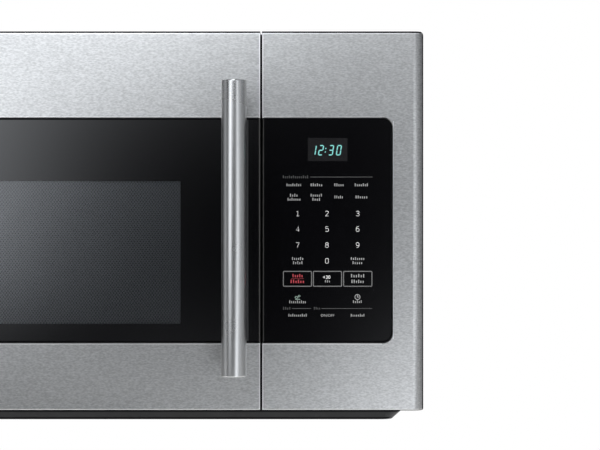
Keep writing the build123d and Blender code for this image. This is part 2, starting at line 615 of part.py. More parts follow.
HOOK_ARM_HALF = 4.0
HOOK_TIP_Y = -336.0
hook_profile = [
    (LATCH_BAR_Y[1], -7),
    (LATCH_BAR_Y[1], 7),
    (HOOK_TIP_Y - 4, 7),
    (HOOK_TIP_Y, 2),
    (HOOK_TIP_Y, -6),
    (HOOK_TIP_Y - 3, -11),
    (HOOK_TIP_Y - 8, -11),
    (HOOK_TIP_Y - 8, -7),
]

with BuildPart() as latch_hooks:
    bar_x = (LATCH_X - LATCH_BAR_HALF, LATCH_X + LATCH_BAR_HALF)
    block(bar_x, LATCH_BAR_Y, LATCH_BAR_Z)
    for height in LATCH_Z:
        with BuildSketch(Plane.YZ.offset(LATCH_X - HOOK_ARM_HALF)):
            with BuildLine():
                Polyline(*[(y, height + rise) for y, rise in hook_profile], close=True)
            make_face()
        extrude(amount=2 * HOOK_ARM_HALF)
latch_hooks.part.label = "latch_hooks"
export_step(latch_hooks.part, "parts/latch_hooks.step")

HANDLE_Y = FACE - HANDLE_STANDOFF
HANDLE_PLUG = 3.0

with BuildPart() as handle_bar:
    rod((HANDLE_X, HANDLE_Y, HANDLE_Z[0]), (0, 0, 1), length(HANDLE_Z), HANDLE_RADIUS)
    fillet(handle_bar.edges().filter_by(GeomType.CIRCLE), 1.2)
    bore_z = grown(HANDLE_Z, -HANDLE_PLUG)
    bore_radius = HANDLE_RADIUS - HANDLE_WALL
    rod((HANDLE_X, HANDLE_Y, bore_z[0]), (0, 0, 1), length(bore_z), bore_radius, Mode.SUBTRACT)
handle_bar.part.label = "handle_bar"
export_step(handle_bar.part, "parts/handle_bar.step")

with BuildPart() as handle_posts:
    for z in HANDLE_POST_Z:
        rod((HANDLE_X, FACE, z), (0, -1, 0), HANDLE_STANDOFF, POST_RADIUS)
    rod((HANDLE_X, HANDLE_Y, HANDLE_Z[0]), (0, 0, 1), length(HANDLE_Z), HANDLE_RADIUS, Mode.SUBTRACT)
    for z in HANDLE_POST_Z:
        rod((HANDLE_X, FACE, z), (0, -1, 0), 14, 2.5, Mode.SUBTRACT)
handle_posts.part.label = "handle_posts"
export_step(handle_posts.part, "parts/handle_posts.step")

with BuildPart() as handle_screws:
    for z in HANDLE_POST_Z:
        rod((HANDLE_X, WEB_BACK, z), (0, 1, 0), 3.5, 4.7)
        rod((HANDLE_X, WEB_BACK, z), (0, -1, 0), WEB_BACK - FACE + 12, 2.5)
handle_screws.part.label = "handle_screws"
export_step(handle_screws.part, "parts/handle_screws.step")

# ---- control panel ----
PANEL_BAND_X = (PANEL_X[0] - 1, BAND_HALF)
DISPLAY_X = (252.0, 295.7)
DISPLAY_Z = (70.9, 96.4)
RIM_X = (PANEL_X[0], INNER_X)
RIM_Y = (FRAME_FRONT, FRAME_FRONT + 6)
RIM = 3.0

panel_outer = front_block(PANEL_X, (FACE, SKIN_BACK), FRONT_Z, 1, 0)
panel_inner = front_block(PANEL_X, (FACE + SKIN, SKIN_BACK + 1), FRONT_Z, 1, SKIN)
panel_recess = band_block(PANEL_BAND_X, BAND_Z, RECESS_CUT_Y, 1, BAND_ROUND)

with BuildPart() as panel_skin:
    add(panel_outer)
    add(panel_inner, mode=Mode.SUBTRACT)
    add(eased_opening(PANEL_BAND_X, BAND_Z, 1), mode=Mode.SUBTRACT)
panel_skin.part.label = "panel_skin"
export_step(panel_skin.part, "parts/panel_skin.step")

with BuildPart() as control_glass:
    control_glass_x = (PANEL_X[0] + SEAM_GLASS_GAP, BAND_HALF - GLASS_GAP)
    add(band_block(control_glass_x, glass_z, glass_y, 1, BAND_ROUND - GLASS_GAP))
    chamfer(control_glass.faces().sort_by(Axis.Y)[0].edges(), GLASS_BEVEL)
control_glass.part.label = "control_glass"
export_step(control_glass.part, "parts/control_glass.step")

with BuildPart() as panel_frame:
    add(front_block(PANEL_X, (FACE + SKIN, FRAME_FRONT), FRONT_Z, 1, SKIN))
    add(panel_recess, mode=Mode.SUBTRACT)
    with BuildSketch(Plane.XZ.offset(-RIM_Y[1])) as rim_outline:
        with Locations((middle(RIM_X), middle((FLOOR_TOP, INNER_TOP)))):
            Rectangle(length(RIM_X), INNER_TOP - FLOOR_TOP)
        top_right = rim_outline.vertices().group_by(Axis.Y)[-1].sort_by(Axis.X)[-1]
        fillet(top_right, INNER_CORNER)
    extrude(amount=length(RIM_Y))
    hollow_y = (WEB_BACK, RIM_Y[1] + 1)
    block(grown(RIM_X, -RIM), hollow_y, grown(FRONT_Z, -RIM - SHEET), Mode.SUBTRACT)
    block(grown(DISPLAY_X, 2), (FACE, WEB_BACK + 1), grown(DISPLAY_Z, 5), Mode.SUBTRACT)
    lip_corner_x = (RIM_X[1] - BOTTOM_LIP - 1, RIM_X[1] + 1)
    lip_corner_z = (FLOOR_TOP - 1, FLOOR_TOP + SHEET)
    block(lip_corner_x, (FRAME_BACK, RIM_Y[1] + 1), lip_corner_z, Mode.SUBTRACT)
panel_frame.part.label = "panel_frame"
export_step(panel_frame.part, "parts/panel_frame.step")

with BuildPart() as display_module:
    block(grown(DISPLAY_X, 1.5), (RECESS_Y, RECESS_Y + 9), grown(DISPLAY_Z, 4.5))
    block(grown(DISPLAY_X, -4), (RECESS_Y + 9, RECESS_Y + 12), grown(DISPLAY_Z, -4))
display_module.part.label = "display_module"
export_step(display_module.part, "parts/display_module.step")

BOARD_X = (212.0, 342.0)
BOARD_Z = (-115.0, 108.0)
BOARD_Y = (-376.0, -374.4)

with BuildPart() as control_board:
    block(BOARD_X, BOARD_Y, BOARD_Z)
    for x in grown(BOARD_X, -6):
        for z in grown(BOARD_Z, -6):
            rod((x, WEB_BACK, z), (0, 1, 0), BOARD_Y[0] - WEB_BACK, 3)
    component_boxes = (
        ((222, 262), (-103, -63), 18),
        ((272, 292), (-100, -72), 14),
        ((298, 318), (-100, -72), 14),
        ((226, 240), (-40, 20), 10),
        ((270, 310), (-30, 0), 4),
        ((300, 334), (50, 66), 8),
    )
    for x, z, tall in component_boxes:
        block(x, (BOARD_Y[1], BOARD_Y[1] + tall), z)
    for x, z in ((256, -40), (268, -48), (326, 10), (326, 28)):
        rod((x, BOARD_Y[1], z), (0, 1, 0), 13, 5)
control_board.part.label = "control_board"
export_step(control_board.part, "parts/control_board.step")

# ---- interlock ----
LATCH_BOARD_X = (CAVITY_X[1] + CAVITY_WALL + 1, PANEL_X[0] - 1)
BOARD_WALL = 3.0
SWITCH_Y = (-333.0, -317.0)
PLUNGER_RADIUS = 1.5

with BuildPart() as latch_board:
    web_x = (LATCH_BOARD_X[1] - BOARD_WALL, LATCH_BOARD_X[1])
    block(web_x, (FRAME_BACK, -312), (LATCH_Z[0] - 22, LATCH_Z[1] + 25))
    for z in LATCH_Z:
        block(LATCH_BOARD_X, (FRAME_BACK, -334), (z - 20, z - 16))
        block((LATCH_BOARD_X[0] + 3, web_x[1]), (FRAME_BACK, -334), (z + 18, z + 21))
latch_board.part.label = "latch_board"
export_step(latch_board.part, "parts/latch_board.step")

with BuildPart() as interlock_switches:
    for z in LATCH_Z:
        block((LATCH_X - 5, web_x[0]), SWITCH_Y, (z - 14, z + 14))
        plunger_bore = PLUNGER_RADIUS + RUNNING
        rod((LATCH_X, SWITCH_Y[0] - 1, z), (0, 1, 0), 9, plunger_bore, Mode.SUBTRACT)
        for rise in (-9, 0, 9):
            tab_x = (LATCH_X - 2, LATCH_X + 2)
            block(tab_x, (SWITCH_Y[1], SWITCH_Y[1] + 6), (z + rise - 0.5, z + rise + 0.5))
interlock_switches.part.label = "interlock_switches"
export_step(interlock_switches.part, "parts/interlock_switches.step")

for height, place in zip(LATCH_Z, ("lower", "upper")):
    with BuildPart() as plunger:
        plunger_start = HOOK_TIP_Y + 0.3
        rod((LATCH_X, plunger_start, height), (0, 1, 0), 7.5, PLUNGER_RADIUS)
    plunger.part.label = f"plunger_{place}"
    export_step(plunger.part, f"parts/plunger_{place}.step")

# ---- microwave generator, in the bay right of the cavity ----
BAY_FLOOR = (-158.0, -156.8)
BAY_X = (CAVITY_X[1] + CAVITY_WALL, 341.2)
BAY_Y = (RIM_Y[1], BACK_INNER)
DECK_Z = (CAVITY_Z[1] + CAVITY_WALL, CAVITY_Z[1] + CAVITY_WALL + SHEET)

with BuildPart() as bay_partition:
    block(BAY_X, BAY_Y, BAY_FLOOR)
    block((BAY_X[1] - SHEET, BAY_X[1]), BAY_Y, (BAY_FLOOR[1], DECK_Z[0]))
bay_partition.part.label = "bay_partition"
export_step(bay_partition.part, "parts/bay_partition.step")

with BuildPart() as top_deck:
    block((CAVITY_X[0] - CAVITY_WALL, BAY_X[1]), (FRAME_BACK + 9, BACK_INNER), DECK_Z)
    with BuildSketch(Plane.XY.offset(DECK_Z[0] - 1)):
        with Locations((262, -200)):
            with GridLocations(14, 0, 8, 1):
                SlotOverall(60, 6, rotation=90)
    extrude(amount=SHEET + 2, mode=Mode.SUBTRACT)
top_deck.part.label = "top_deck"
export_step(top_deck.part, "parts/top_deck.step")

TUBE_Y = -155.0
TUBE_Z = 44.0
GUIDE_X = (BAY_X[0], BAY_X[0] + 30)

with BuildPart() as waveguide:
    guide_y = (TUBE_Y - 48, TUBE_Y + 48)
    guide_z = (GUIDE_Z[0] - 12, TUBE_Z + 48)
    block(GUIDE_X, guide_y, guide_z)
    guide_room = (GUIDE_X[0] - 1, GUIDE_X[1] - 1)
    block(guide_room, grown(guide_y, -1), grown(guide_z, -1), Mode.SUBTRACT)
    rod((GUIDE_X[1] - 2, TUBE_Y, TUBE_Z), (1, 0, 0), 4, 10, Mode.SUBTRACT)
waveguide.part.label = "waveguide"
export_step(waveguide.part, "parts/waveguide.step")

YOKE_X = (GUIDE_X[1] + 2, GUIDE_X[1] + 78)

with BuildPart() as magnetron:
    block((GUIDE_X[1], YOKE_X[0]), (TUBE_Y - 50, TUBE_Y + 50), (TUBE_Z - 46, TUBE_Z + 46))
    rod((GUIDE_X[1], TUBE_Y, TUBE_Z), (-1, 0, 0), 17, 7)
    block(YOKE_X, (TUBE_Y - 47, TUBE_Y + 47), (TUBE_Z - 44, TUBE_Z + 44))
    yoke_room = (TUBE_Y - 48, TUBE_Y + 48)
    block(grown(YOKE_X, -2), yoke_room, (TUBE_Z - 42, TUBE_Z + 42), Mode.SUBTRACT)
    rod((YOKE_X[0], TUBE_Y, TUBE_Z), (1, 0, 0), length(YOKE_X), 19)
    for x in (YOKE_X[0], YOKE_X[1] - 12):
        rod((x, TUBE_Y, TUBE_Z), (1, 0, 0), 12, 28)
    for fin in range(8):
        fin_x = YOKE_X[0] + 17 + 6 * fin
        block((fin_x, fin_x + 0.8), (TUBE_Y - 35, TUBE_Y + 35), (TUBE_Z - 42, TUBE_Z + 42))
    filter_box_x = (YOKE_X[1], YOKE_X[1] + 27)
    block(filter_box_x, (TUBE_Y - 33, TUBE_Y + 33), (TUBE_Z - 28, TUBE_Z + 28))
magnetron.part.label = "magnetron"
export_step(magnetron.part, "parts/magnetron.step")

CORE_X = (225.0, 325.0)
CORE_Y = (-330.0, -262.0)
CORE_Z = (BAY_FLOOR[1], BAY_FLOOR[1] + 83)

with BuildPart() as transformer:
    block(CORE_X, CORE_Y, CORE_Z)
    with BuildSketch(Plane.XZ.offset(-CORE_Y[0] + 10)) as winding:
        with Locations((middle(CORE_X), middle(CORE_Z))):
            RectangleRounded(70, 50, 10)
    extrude(amount=-(length(CORE_Y) + 20))
    for x in CORE_X:
        block((x - 8, x + 8), (CORE_Y[0] + 5, CORE_Y[1] - 5), (CORE_Z[0], CORE_Z[0] + 3))
transformer.part.label = "transformer"
export_step(transformer.part, "parts/transformer.step")

CAPACITOR_AT = (205.0, -235.0)
CAPACITOR_HEIGHT = 92.0

with BuildPart() as capacitor:
    with BuildSketch(Plane.XY.offset(BAY_FLOOR[1])):
        with Locations(CAPACITOR_AT):
            SlotOverall(54, 32, rotation=90)
    extrude(amount=CAPACITOR_HEIGHT)
    for y in (CAPACITOR_AT[1] - 9, CAPACITOR_AT[1] + 9):
        rod((CAPACITOR_AT[0], y, BAY_FLOOR[1] + CAPACITOR_HEIGHT), (0, 0, 1), 8, 4)
capacitor.part.label = "capacitor"
export_step(capacitor.part, "parts/capacitor.step")

FAN_X = 262.0
FAN_Z = -40.0
FAN_RADIUS = 52.0
SHROUD_Y = (-62.0, -60.0)
FAN_SHAFT_RADIUS = 1.6
FAN_BLADES = 5
HUB_Y = (-84.0, -66.0)

with BuildPart() as fan_shroud:
    block((BAY_X[0] + 4, BAY_X[1] - SHEET), SHROUD_Y, (BAY_FLOOR[1], 40))
    rod((FAN_X, SHROUD_Y[0] - 26, FAN_Z), (0, 1, 0), 26, FAN_RADIUS + 6)
    rod((FAN_X, SHROUD_Y[0] - 30, FAN_Z), (0, 1, 0), 40, FAN_RADIUS + 4, Mode.SUBTRACT)
fan_shroud.part.label = "fan_shroud"
export_step(fan_shroud.part, "parts/fan_shroud.step")

with BuildPart() as cooling_fan_motor:
    motor_face = SHROUD_Y[1]
    block((FAN_X - 62, FAN_X + 62), (motor_face, motor_face + 2), (FAN_Z - 6, FAN_Z + 6))
    block((FAN_X - 25, FAN_X + 25), (motor_face + 2, motor_face + 24), (FAN_Z - 25, FAN_Z + 25))
    coil_y = (motor_face + 4, motor_face + 22)
    block((FAN_X - 20, FAN_X + 20), coil_y, (FAN_Z - 45, FAN_Z - 25))
    rod((FAN_X, motor_face, FAN_Z), (0, 1, 0), 20, FAN_SHAFT_RADIUS + RUNNING, Mode.SUBTRACT)
cooling_fan_motor.part.label = "cooling_fan_motor"
export_step(cooling_fan_motor.part, "parts/cooling_fan_motor.step")

with BuildPart() as cooling_fan:
    rod((FAN_X, HUB_Y[0], FAN_Z), (0, 1, 0), length(HUB_Y), 14)
    rod((FAN_X, HUB_Y[1], FAN_Z), (0, 1, 0), 24, FAN_SHAFT_RADIUS)
    for blade in range(FAN_BLADES):
        spoke = Location((FAN_X, middle(HUB_Y), FAN_Z), (0, blade * 360 / FAN_BLADES, 0))
        with Locations(spoke):
            with Locations(Location((FAN_RADIUS / 2 + 5, 0, 0), (55, 0, 0))):
                Box(FAN_RADIUS - 12, 1.5, 24)
cooling_fan.part.label = "cooling_fan"
export_step(cooling_fan.part, "parts/cooling_fan.step")

with BuildPart() as thermal_cutouts:
    for x, y in ((-200, -200), (60, -220), (150, -300)):
        block((x - 12, x + 12), (y - 5, y + 5), (DECK_Z[1], DECK_Z[1] + 1))
        rod((x, y, DECK_Z[1]), (0, 0, 1), 7, 8)
        for lead in (-4, 4):
            block((x + lead - 2, x + lead + 2), (y - 0.4, y + 0.4), (DECK_Z[1] + 7, DECK_Z[1] + 16))
thermal_cutouts.part.label = "thermal_cutouts"
export_step(thermal_cutouts.part, "parts/thermal_cutouts.step")

# ---- exhaust ----
BLOWER_Y = -66.0
SCROLL_RADIUS = 52.0
SCROLL_WALL = 1.5
BLOWER_Z = DECK_Z[1] + SCROLL_RADIUS
BLOWER_HALF = 140.0
WHEEL_X = (46.0, 126.0)
WHEEL_RADIUS = 42.0
WHEEL_BLADES = 20
BLOWER_SHAFT_RADIUS = 4.0

with BuildPart() as blower_housing:
    for inset, mode in ((0, Mode.ADD), (SCROLL_WALL, Mode.SUBTRACT)):
        half = BLOWER_HALF - inset
        radius = SCROLL_RADIUS - inset
        rod((-half, BLOWER_Y, BLOWER_Z), (1, 0, 0), 2 * half, radius, mode)
        throat = (BLOWER_Y - radius, BLOWER_Y + radius)
        block((-half, half), throat, (BLOWER_Z, INNER_TOP + inset), mode)
    inlet_reach = 2 * BLOWER_HALF + 2
    rod((-BLOWER_HALF - 1, BLOWER_Y, BLOWER_Z), (1, 0, 0), inlet_reach, 30, Mode.SUBTRACT)
blower_housing.part.label = "blower_housing"
export_step(blower_housing.part, "parts/blower_housing.step")

with BuildPart() as blower_motor:
    rod((-34, BLOWER_Y, BLOWER_Z), (1, 0, 0), 68, 32)
    arm_y = (BLOWER_Y - SCROLL_RADIUS + SCROLL_WALL, BLOWER_Y - 24)
    block((-30, 30), arm_y, (BLOWER_Z + 2, BLOWER_Z + 14))
    motor_bore = BLOWER_SHAFT_RADIUS + RUNNING
    rod((-35, BLOWER_Y, BLOWER_Z), (1, 0, 0), 70, motor_bore, Mode.SUBTRACT)
blower_motor.part.label = "blower_motor"
export_step(blower_motor.part, "parts/blower_motor.step")

with BuildPart() as blower_wheels:
    rod((-WHEEL_X[1], BLOWER_Y, BLOWER_Z), (1, 0, 0), 2 * WHEEL_X[1], BLOWER_SHAFT_RADIUS)
    for side in (-1, 1):
        disc_x = side * WHEEL_X[0]
        away = (side, 0, 0)
        rod((disc_x, BLOWER_Y, BLOWER_Z), away, 2, WHEEL_RADIUS)
        rod((disc_x, BLOWER_Y, BLOWER_Z), away, 20, 8)
        wheel_plane = Plane(origin=(disc_x, BLOWER_Y, BLOWER_Z), x_dir=(0, 1, 0), z_dir=away)
        with BuildSketch(wheel_plane):
            with PolarLocations(WHEEL_RADIUS - 3, WHEEL_BLADES):
                Rectangle(6, 1.2, rotation=25)
        extrude(amount=length(WHEEL_X))
        with BuildSketch(wheel_plane.offset(length(WHEEL_X) - 2)):
            Circle(WHEEL_RADIUS)
            Circle(WHEEL_RADIUS - 6, mode=Mode.SUBTRACT)
        extrude(amount=2)
blower_wheels.part.label = "blower_wheels"
export_step(blower_wheels.part, "parts/blower_wheels.step")

DAMPER_Z = (200.0, INNER_TOP)
FLAP_AXIS = (-28.0, 205.0)  # Y, Z
FLAP_HALF = 125.5
FLAP_PIN_RADIUS = 1.5

with BuildPart() as damper_frame:
    collar_x = (-BLOWER_HALF + SCROLL_WALL, BLOWER_HALF - SCROLL_WALL)
    collar_y = (BLOWER_Y - SCROLL_RADIUS + SCROLL_WALL, BLOWER_Y + SCROLL_RADIUS - SCROLL_WALL)
    block(collar_x, collar_y, DAMPER_Z)
    block((-DUCT_WIDTH / 2, DUCT_WIDTH / 2), duct_y, grown(DAMPER_Z, 1), Mode.SUBTRACT)
    ledge_y = (duct_y[0], duct_y[0] + 5)
    block((-DUCT_WIDTH / 2, DUCT_WIDTH / 2), ledge_y, (FLAP_AXIS[1] - 3, FLAP_AXIS[1] - 0.8))
    rod((-132, *FLAP_AXIS), (1, 0, 0), 264, FLAP_PIN_RADIUS + RUNNING, Mode.SUBTRACT)
damper_frame.part.label = "damper_frame"
export_step(damper_frame.part, "parts/damper_frame.step")

with BuildPart() as damper_flap:
    flap_y = (duct_y[0] + 2.6, FLAP_AXIS[0])
    block((-FLAP_HALF, FLAP_HALF), flap_y, (FLAP_AXIS[1] - 0.5, FLAP_AXIS[1] + 0.5))
    rod((-FLAP_HALF, *FLAP_AXIS), (1, 0, 0), 2 * FLAP_HALF, 2)
    rod((-FLAP_HALF - 5, *FLAP_AXIS), (1, 0, 0), 2 * FLAP_HALF + 10, FLAP_PIN_RADIUS)
damper_flap.part.label = "damper_flap"
export_step(damper_flap.part, "parts/damper_flap.step")

GRILLE_SLATS = 6
SLAT_Z = (206.0, TOP - 0.4)

with BuildPart() as vent_grille:
    rim_x, rim_y = grown(VENT_X, 6), grown(VENT_Y, 6)
    block(rim_x, rim_y, (INNER_TOP - 2, INNER_TOP))
    grille_x, grille_y = grown(VENT_X, -0.5), grown(VENT_Y, -0.5)
    block(grille_x, grille_y, SLAT_Z)
    block(grown(grille_x, -4), grown(grille_y, -3), (200, TOP), Mode.SUBTRACT)
    slat_pitch = (length(grille_y) - 6) / GRILLE_SLATS
    for slat in range(1, GRILLE_SLATS):
        slat_y = grille_y[0] + 3 + slat * slat_pitch
        block(grille_x, (slat_y - 1.5, slat_y + 1.5), SLAT_Z)
    for rib in range(1, 6):
        rib_x = grille_x[0] + rib * length(grille_x) / 6
        block((rib_x - 2, rib_x + 2), grille_y, (SLAT_Z[0], SLAT_Z[1] - 2))
vent_grille.part.label = "vent_grille"
export_step(vent_grille.part, "parts/vent_grille.step")

with BuildPart() as charcoal_filter:
    charcoal_x, charcoal_y = (-240, 240), grown(VENT_Y, -3)
    block(charcoal_x, charcoal_y, (SLAT_Z[0] - 18, SLAT_Z[0]))
    block(grown(charcoal_x, -8), grown(charcoal_y, -8), (SLAT_Z[0] - 3, SLAT_Z[0]), Mode.SUBTRACT)
    block(grown(charcoal_x, -8), grown(charcoal_y, -8), (SLAT_Z[0] - 18, SLAT_Z[0] - 15), Mode.SUBTRACT)
charcoal_filter.part.label = "charcoal_filter"
export_step(charcoal_filter.part, "parts/charcoal_filter.step")

FILTER_EASE = 0.5
FILTER_BORDER = 9.0
FILTER_BOTTOM = BOTTOM + 0.3

for x, place in ((-FILTER_X, "left"), (FILTER_X, "right")):
    frame_x = grown((x - FILTER_WIDTH / 2, x + FILTER_WIDTH / 2), -FILTER_EASE)
    frame_y = grown(filter_y, -FILTER_EASE)
    frame_z = (FILTER_BOTTOM, FILTER_BOTTOM + FILTER_DEPTH)
    with BuildPart() as grease_filter:
        block(frame_x, frame_y, frame_z)
        for z in ((frame_z[0], frame_z[0] + 2), (frame_z[1] - 2, frame_z[1])):
            block(grown(frame_x, -FILTER_BORDER), grown(frame_y, -FILTER_BORDER), z, Mode.SUBTRACT)
        block((x - 12, x + 12), (frame_y[0] + 1, frame_y[0] + FILTER_BORDER), frame_z, Mode.SUBTRACT)
        rod((x - 12, frame_y[0] + 5, FILTER_BOTTOM + 3), (1, 0, 0), 24, 1.5)
    grease_filter.part.label = f"grease_filter_{place}"
    export_step(grease_filter.part, f"parts/grease_filter_{place}.step")

# ---- lamps and cord inlet ----
LENS_Z = (BOTTOM + 0.5, BOTTOM + 3)

with BuildPart() as lamp_cover:
    lens_x = grown(LAMP_OPENING_X, -1)
    block(lens_x, (LAMP_OPENING_Y[0] + 1, LAMP_AXIS[0] + 1), LENS_Z)
    for side in (-1, 1):
        knuckle_x = sorted((side * 54, side * 58))
        block(knuckle_x, (LAMP_AXIS[0] - 2.5, LAMP_AXIS[0] + 1), (LENS_Z[0], LAMP_AXIS[1]))
        rod((side * 54, *LAMP_AXIS), (side, 0, 0), 4, 2.5)
        rod((side * 54, *LAMP_AXIS), (side, 0, 0), 9.5, LAMP_PIN_RADIUS)
lamp_cover.part.label = "lamp_cover"
export_step(lamp_cover.part, "parts/lamp_cover.step")

BULB_Z = BOTTOM + 13.8
LAMP_PLATE_Z = (-196.0, -194.8)

with BuildPart() as cooktop_lamps:
    lamp_plate_y = (LAMP_OPENING_Y[0] - 3, LAMP_OPENING_Y[1] + 8)
    block((-66, 66), lamp_plate_y, LAMP_PLATE_Z)
    for leg_y in (lamp_plate_y[0], lamp_plate_y[1] - SHEET):
        block((-56, 56), (leg_y, leg_y + SHEET), (TRAY_FLOOR_Z, LAMP_PLATE_Z[0]))
    for x in (-28, 28):
        rod((x, middle(LAMP_OPENING_Y), LAMP_PLATE_Z[0]), (0, 0, -1), 6, 7)
        with Locations((x, middle(LAMP_OPENING_Y), BULB_Z)):
            Sphere(5.5)
cooktop_lamps.part.label = "cooktop_lamps"
export_step(cooktop_lamps.part, "parts/cooktop_lamps.step")

with BuildPart() as cavity_lamp:
    lamp_y, lamp_z = CAVITY_LAMP
    block((BAY_X[0], BAY_X[0] + 1.2), (lamp_y - 25, lamp_y + 25), (lamp_z - 25, lamp_z + 25))
    rod((BAY_X[0] - 1, lamp_y, lamp_z), (1, 0, 0), 4, 18, Mode.SUBTRACT)
    block((BAY_X[0], BAY_X[0] + 42), (lamp_y + 21, lamp_y + 23), (lamp_z - 12, lamp_z + 12))
    block((BAY_X[0] + 24, BAY_X[0] + 42), (lamp_y - 12, lamp_y + 22), (lamp_z - 12, lamp_z + 12))
    with Locations((BAY_X[0] + 16, lamp_y, lamp_z)):
        Sphere(10)
cavity_lamp.part.label = "cavity_lamp"
export_step(cavity_lamp.part, "parts/cavity_lamp.step")

with BuildPart() as cord_bushing:
    rod((*CORD_HOLE, INNER_TOP - 3), (0, 0, 1), SHEET + 3, CORD_HOLE_RADIUS - 0.1)
    rod((*CORD_HOLE, INNER_TOP - 3), (0, 0, 1), 3, CORD_HOLE_RADIUS + 3)
    rod((*CORD_HOLE, INNER_TOP - 4), (0, 0, 1), 6, CORD_BORE_RADIUS, Mode.SUBTRACT)
cord_bushing.part.label = "cord_bushing"
export_step(cord_bushing.part, "parts/cord_bushing.step")
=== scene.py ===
"""Over-the-range microwave oven: finishes, printed controls, door screen and studio."""

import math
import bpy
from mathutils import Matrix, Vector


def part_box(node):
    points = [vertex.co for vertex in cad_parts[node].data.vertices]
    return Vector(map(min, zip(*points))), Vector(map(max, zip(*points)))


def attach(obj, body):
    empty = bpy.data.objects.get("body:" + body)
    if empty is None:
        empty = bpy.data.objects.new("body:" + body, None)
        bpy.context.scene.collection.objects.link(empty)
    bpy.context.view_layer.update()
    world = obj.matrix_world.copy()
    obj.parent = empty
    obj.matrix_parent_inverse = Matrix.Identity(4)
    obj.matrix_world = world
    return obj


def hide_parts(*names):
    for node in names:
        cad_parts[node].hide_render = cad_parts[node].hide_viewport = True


bl_info = {
    "name": "Range Microwave Finisher",
    "version": (1, 0, 0),
    "blender": (4, 5, 0),
    "location": "View3D > Sidebar > Microwave",
    "description": "Dresses an over-the-range microwave oven with its metal, glass and printed parts",
    "category": "Object",
}

import bmesh
import bpy
from bpy.props import FloatProperty, FloatVectorProperty, IntProperty, PointerProperty
from mathutils import Vector

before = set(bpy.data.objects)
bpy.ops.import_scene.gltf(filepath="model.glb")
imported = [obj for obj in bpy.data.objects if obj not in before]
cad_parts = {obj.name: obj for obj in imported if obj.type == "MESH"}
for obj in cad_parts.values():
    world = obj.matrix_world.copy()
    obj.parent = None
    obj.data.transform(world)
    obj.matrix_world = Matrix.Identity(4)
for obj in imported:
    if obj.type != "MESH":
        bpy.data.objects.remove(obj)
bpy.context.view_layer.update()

MM = 0.001
DOOR_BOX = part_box("door_skin")
PANEL_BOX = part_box("panel_skin")
SCREEN_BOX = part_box("door_screen")
GLASS_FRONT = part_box("control_glass")[0].y


# ---- settings ----
def colour_setting(name, description, default):
    """A colour a user would change."""
    return FloatVectorProperty(
        name=name, description=description, subtype="COLOR", size=4, min=0, max=1, default=(*default, 1)
    )


def size_setting(name, description, millimetres):
    """A length a user would change, given in millimetres and kept in metres."""
    return FloatProperty(
        name=name, description=description, unit="LENGTH", subtype="DISTANCE", min=0, precision=5,
        default=millimetres * MM,
    )


class MicrowaveColours(bpy.types.PropertyGroup):
    """Colours of the visible finishes."""

    steel: colour_setting("Stainless", "Brushed cladding of the door and the panel", (0.56, 0.56, 0.555))
    handle: colour_setting("Handle", "Satin tube of the handle", (0.66, 0.66, 0.655))
    black_glass: colour_setting("Black glass", "Printed back of the two glasses", (0.0016, 0.0016, 0.002))
    window_tint: colour_setting("Window tint", "What the window lets through", (0.64, 0.65, 0.66))
    screen: colour_setting("Door screen", "Perforated sheet behind the window", (0.68, 0.68, 0.69))
    case: colour_setting("Case", "Powder coat of the outer case", (0.032, 0.032, 0.034))
    base: colour_setting("Base", "Powder coat of the base plate", (0.013, 0.013, 0.014))
    enamel: colour_setting("Cavity enamel", "Paint inside the oven", (0.56, 0.555, 0.53))
    label: colour_setting("Key labels", "Small printed labels", (0.27, 0.27, 0.27))
    dim: colour_setting("Group rules", "Dim printed headings and rules", (0.04, 0.04, 0.04))
    digit: colour_setting("Digits", "Printed digits", (0.78, 0.78, 0.78))
    stop: colour_setting("Stop key", "Printed marks of the stop key", (0.38, 0.035, 0.05))
    outline: colour_setting("Key outlines", "Frames of the three wide keys", (0.13, 0.13, 0.13))
    clock: colour_setting("Clock", "Lit clock digits", (0.21, 0.61, 0.58))
    eco: colour_setting("Leaf mark", "Printed mark of the saving mode", (0.30, 0.42, 0.36))


class MicrowaveSizes(bpy.types.PropertyGroup):
    """Sizes of the pieces that are made here."""

    hole_pitch_x: size_setting("Hole pitch across", "Distance between holes in a row of the screen", 3.3)
    hole_pitch_z: size_setting("Row pitch", "Distance between the screen's rows of holes", 2.2)
    hole_radius: size_setting("Hole radius", "Radius of the screen's holes", 1.0)
    screen_sheet: size_setting("Screen sheet", "Thickness of the screen's rim and pan", 0.35)
    print_height: size_setting("Print height", "How far the prints stand on the glass", 0.08)
    digit_height: size_setting("Digit height", "Height of the printed digits", 5.9)
    digit_stroke: size_setting("Digit stroke", "Width of a printed digit's line", 0.55)
    clock_height: size_setting("Clock height", "Height of the lit clock digits", 11.5)
    clock_stroke: size_setting("Clock stroke", "Width of a lit segment", 1.15)
    outline_width: size_setting("Outline width", "Width of the key outlines", 1.0)
    strand: size_setting("Filter strand", "Width of a strand of the grease filters", 0.9)
    hole_columns: IntProperty(name="Hole columns", description="Holes in each row", default=121, min=2)
    hole_rows: IntProperty(name="Hole row pairs", description="Pairs of rows of holes", default=37, min=1)


# ---- mesh helpers ----
def span(low, high, start=0.0):
    """A range in metres, from millimetres beyond a start."""
    return (start + low * MM, start + high * MM)


def clear_selection():
    """Leave edit mode and deselect everything."""
    active = bpy.context.view_layer.objects.active
    if active and active.mode != "OBJECT":
        bpy.ops.object.mode_set(mode="OBJECT")
    bpy.ops.object.select_all(action="DESELECT")


def settle():
    """Apply the selected pieces' place, turn and size."""
    bpy.ops.object.transform_apply(location=True, rotation=True, scale=True)


def edit_all():
    """Enter edit mode with everything selected."""
    bpy.ops.object.mode_set(mode="EDIT")
    bpy.ops.mesh.select_all(action="SELECT")


